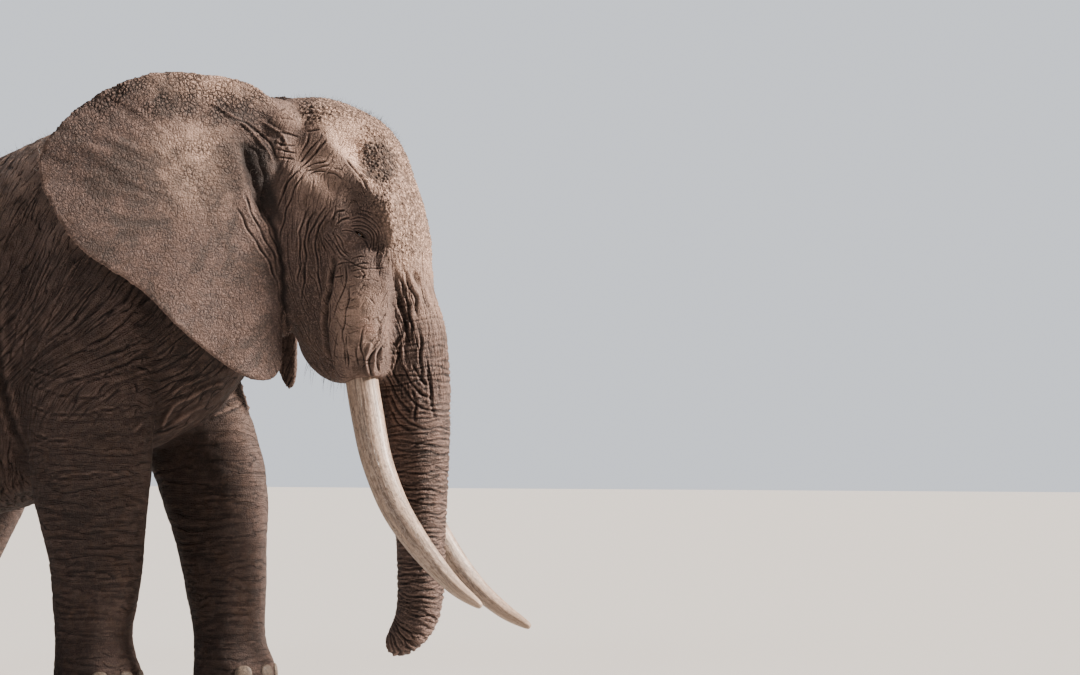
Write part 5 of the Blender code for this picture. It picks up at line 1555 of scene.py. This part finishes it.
# Pale spots of the head: X, height, reach along and up, and how pale. The second, on the jowl, is painted light.
headSpots = ((1.27, 2.98, .17, .20, .33), (1.47, 2.10, .15, .24, .36), (1.20, 3.28, .25, .10, .16))
# A darker patch on the brow: its middle, lean and reach.
browPatchSpot = {"place": (1.560, 3.01), "lean": .25, "reach": (.085, .125)}
pinkSpot = {"place": (1.58, 2.08), "reach": (.07, .06), "most": .45}


def colourSkin(skin, here):     # masks for pale skin (dust, colour and painted light), painted shade with a stain, a dark brow patch, pink and wet skin
    points, normals = readPoints(skin.data), readNormals(skin.data)
    x, y, z = here["head"].T
    ear, back, tall, head, onTrunk = (here[name] for name in ("ear", "earBack", "earHeight", "skull", "trunk"))
    high = ramp(normals[:, 2], .1, .7)      # upward-facing skin: dust and painted light from above lie on the back
    # The pale front of the forehead and the trunk's root: dust, with painted light on it.
    front = ramp(x - np.interp(z, *litBrowEdge), -.055, .05) * ramp(z, 1.95, 2.35) * np.maximum(head, onTrunk)
    front *= (ramp(z, 3.45, 3.25) * .45 + .53) * (1 - .50 * ramp(z, 2.58, 2.30))
    pale = [soft(back, .46, .20, tall, 3.00, .24) * ear * .50, front, .26 * high * here["torso"],
            ear * ramp(tall, 3.26, 3.44) * ramp(back, .85, .45) * .55]
    pale += [most * head * soft(x, spotX, wide, z, spotZ, up) for spotX, spotZ, wide, up, most in headSpots]
    bodyX, bodyY, bodyZ = points.T
    # Painted light: the legs' forward faces get less painted shade.
    litLegFront = here["leg"] * ramp(normals[:, 0], .25, .85)
    # Painted shade in the hollow behind the chest, under the ear.
    armpitShade = ramp(bodyX - np.interp(bodyZ, *armpitEdge), -.10, .16) * ramp(bodyZ, 2.75, 2.45)
    armpitShade *= ramp(bodyZ, 1.62, 1.74) * ramp(bodyX, .95, .80) * here["torso"] * (1 - ear) * (np.abs(bodyY) > .12)
    shadeAndStains = [soft(back, .16, .12, tall, 3.08, .16) * ear,      # painted shade behind the ear's root; darker towards its rear; a stain over its middle
              .48 * ramp(back, .80, 1.15) * ear * ramp(tall, 2.2, 2.5),
              .42 * soft(back, .62, .26, tall, 2.66, .10) * ear,
              # painted shade on the legs and the torso's sides, less on forward faces and tops, and behind the chest
              (here["leg"] - .20 * litLegFront) * .95 + here["torso"] * (.42 - .42 * high), .95 * armpitShade,
              .25 * soft(x, 1.53, .075, z, 2.65, .13), .60 * soft(x, 1.57, .060, z, 2.43, .11),     # painted shade round the eye and under it
              .60 * ramp(x, 1.36, 1.26) * ramp(z, 2.7, 2.2) * head,     # painted shade on the cheek's rear
              # painted shade on the trunk's sides, and a darker tail
              .80 * onTrunk * ramp(np.abs(normals[:, 1]), .30, .85) * ramp(z, 2.45, 2.15), .65 * here["tail"]]
    (patchX, patchZ), (patchWide, patchTall) = browPatchSpot["place"], browPatchSpot["reach"]
    reach = np.hypot((x - patchX - browPatchSpot["lean"] * (patchZ - z)) / patchWide, (z - patchZ) / patchTall)
    reach += .10 * np.sin(x * 62 + 1) * np.sin(z * 55) + .07 * np.sin(z * 120 + x * 90)
    (pinkX, pinkZ), (pinkWide, pinkTall) = pinkSpot["place"], pinkSpot["reach"]
    store(skin.data, "pale", np.max(pale, axis=0))
    store(skin.data, "shadeAndStains", np.max(shadeAndStains, axis=0))
    store(skin.data, "browPatch", ramp(reach, 1.12, .80) * ramp(np.abs(y), .05, .10))
    store(skin.data, "pink", pinkSpot["most"] * soft(x, pinkX, pinkWide, z, pinkZ, pinkTall) * (np.abs(y) > .2))
    store(skin.data, "wet", ramp(fromEyes(points), lids["ball"] + .001, lids["ball"] - .004))


skin = makeSkin()
here = sculpt(skin)
colourSkin(skin, here)
wrinkleSkin(skin)
storeCavity(skin.data)
report("skin wrinkled")
dust = dustGroup()
hair = hairMaterial(dust)
makeBristles(skin, here, hair)
makeLashes(skin, hair)
makeTuft(hair)
report("bristles grown")
fleshNodes = [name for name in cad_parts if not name.startswith(("eye", "tusk", "nail", "tail_tuft"))]
finishPiece(skin, hideMaterial(dust), "hide", *fleshNodes)
skin.name = "elephant_skin"
ivory, ball = ivoryMaterial(dust), eyeMaterial()
for side in (1, -1):
    makeTusk(side, ivory)
    makeEye(side, ball)
makeNails(nailMaterial(dust))
report("tusks, eyes and nails made")
makeStage()
makeCamera()
meshes = [thing.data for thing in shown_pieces() if thing.type == "MESH"]
report("%d triangles in all" % sum(len(face.vertices) - 2 for mesh in meshes for face in mesh.polygons))
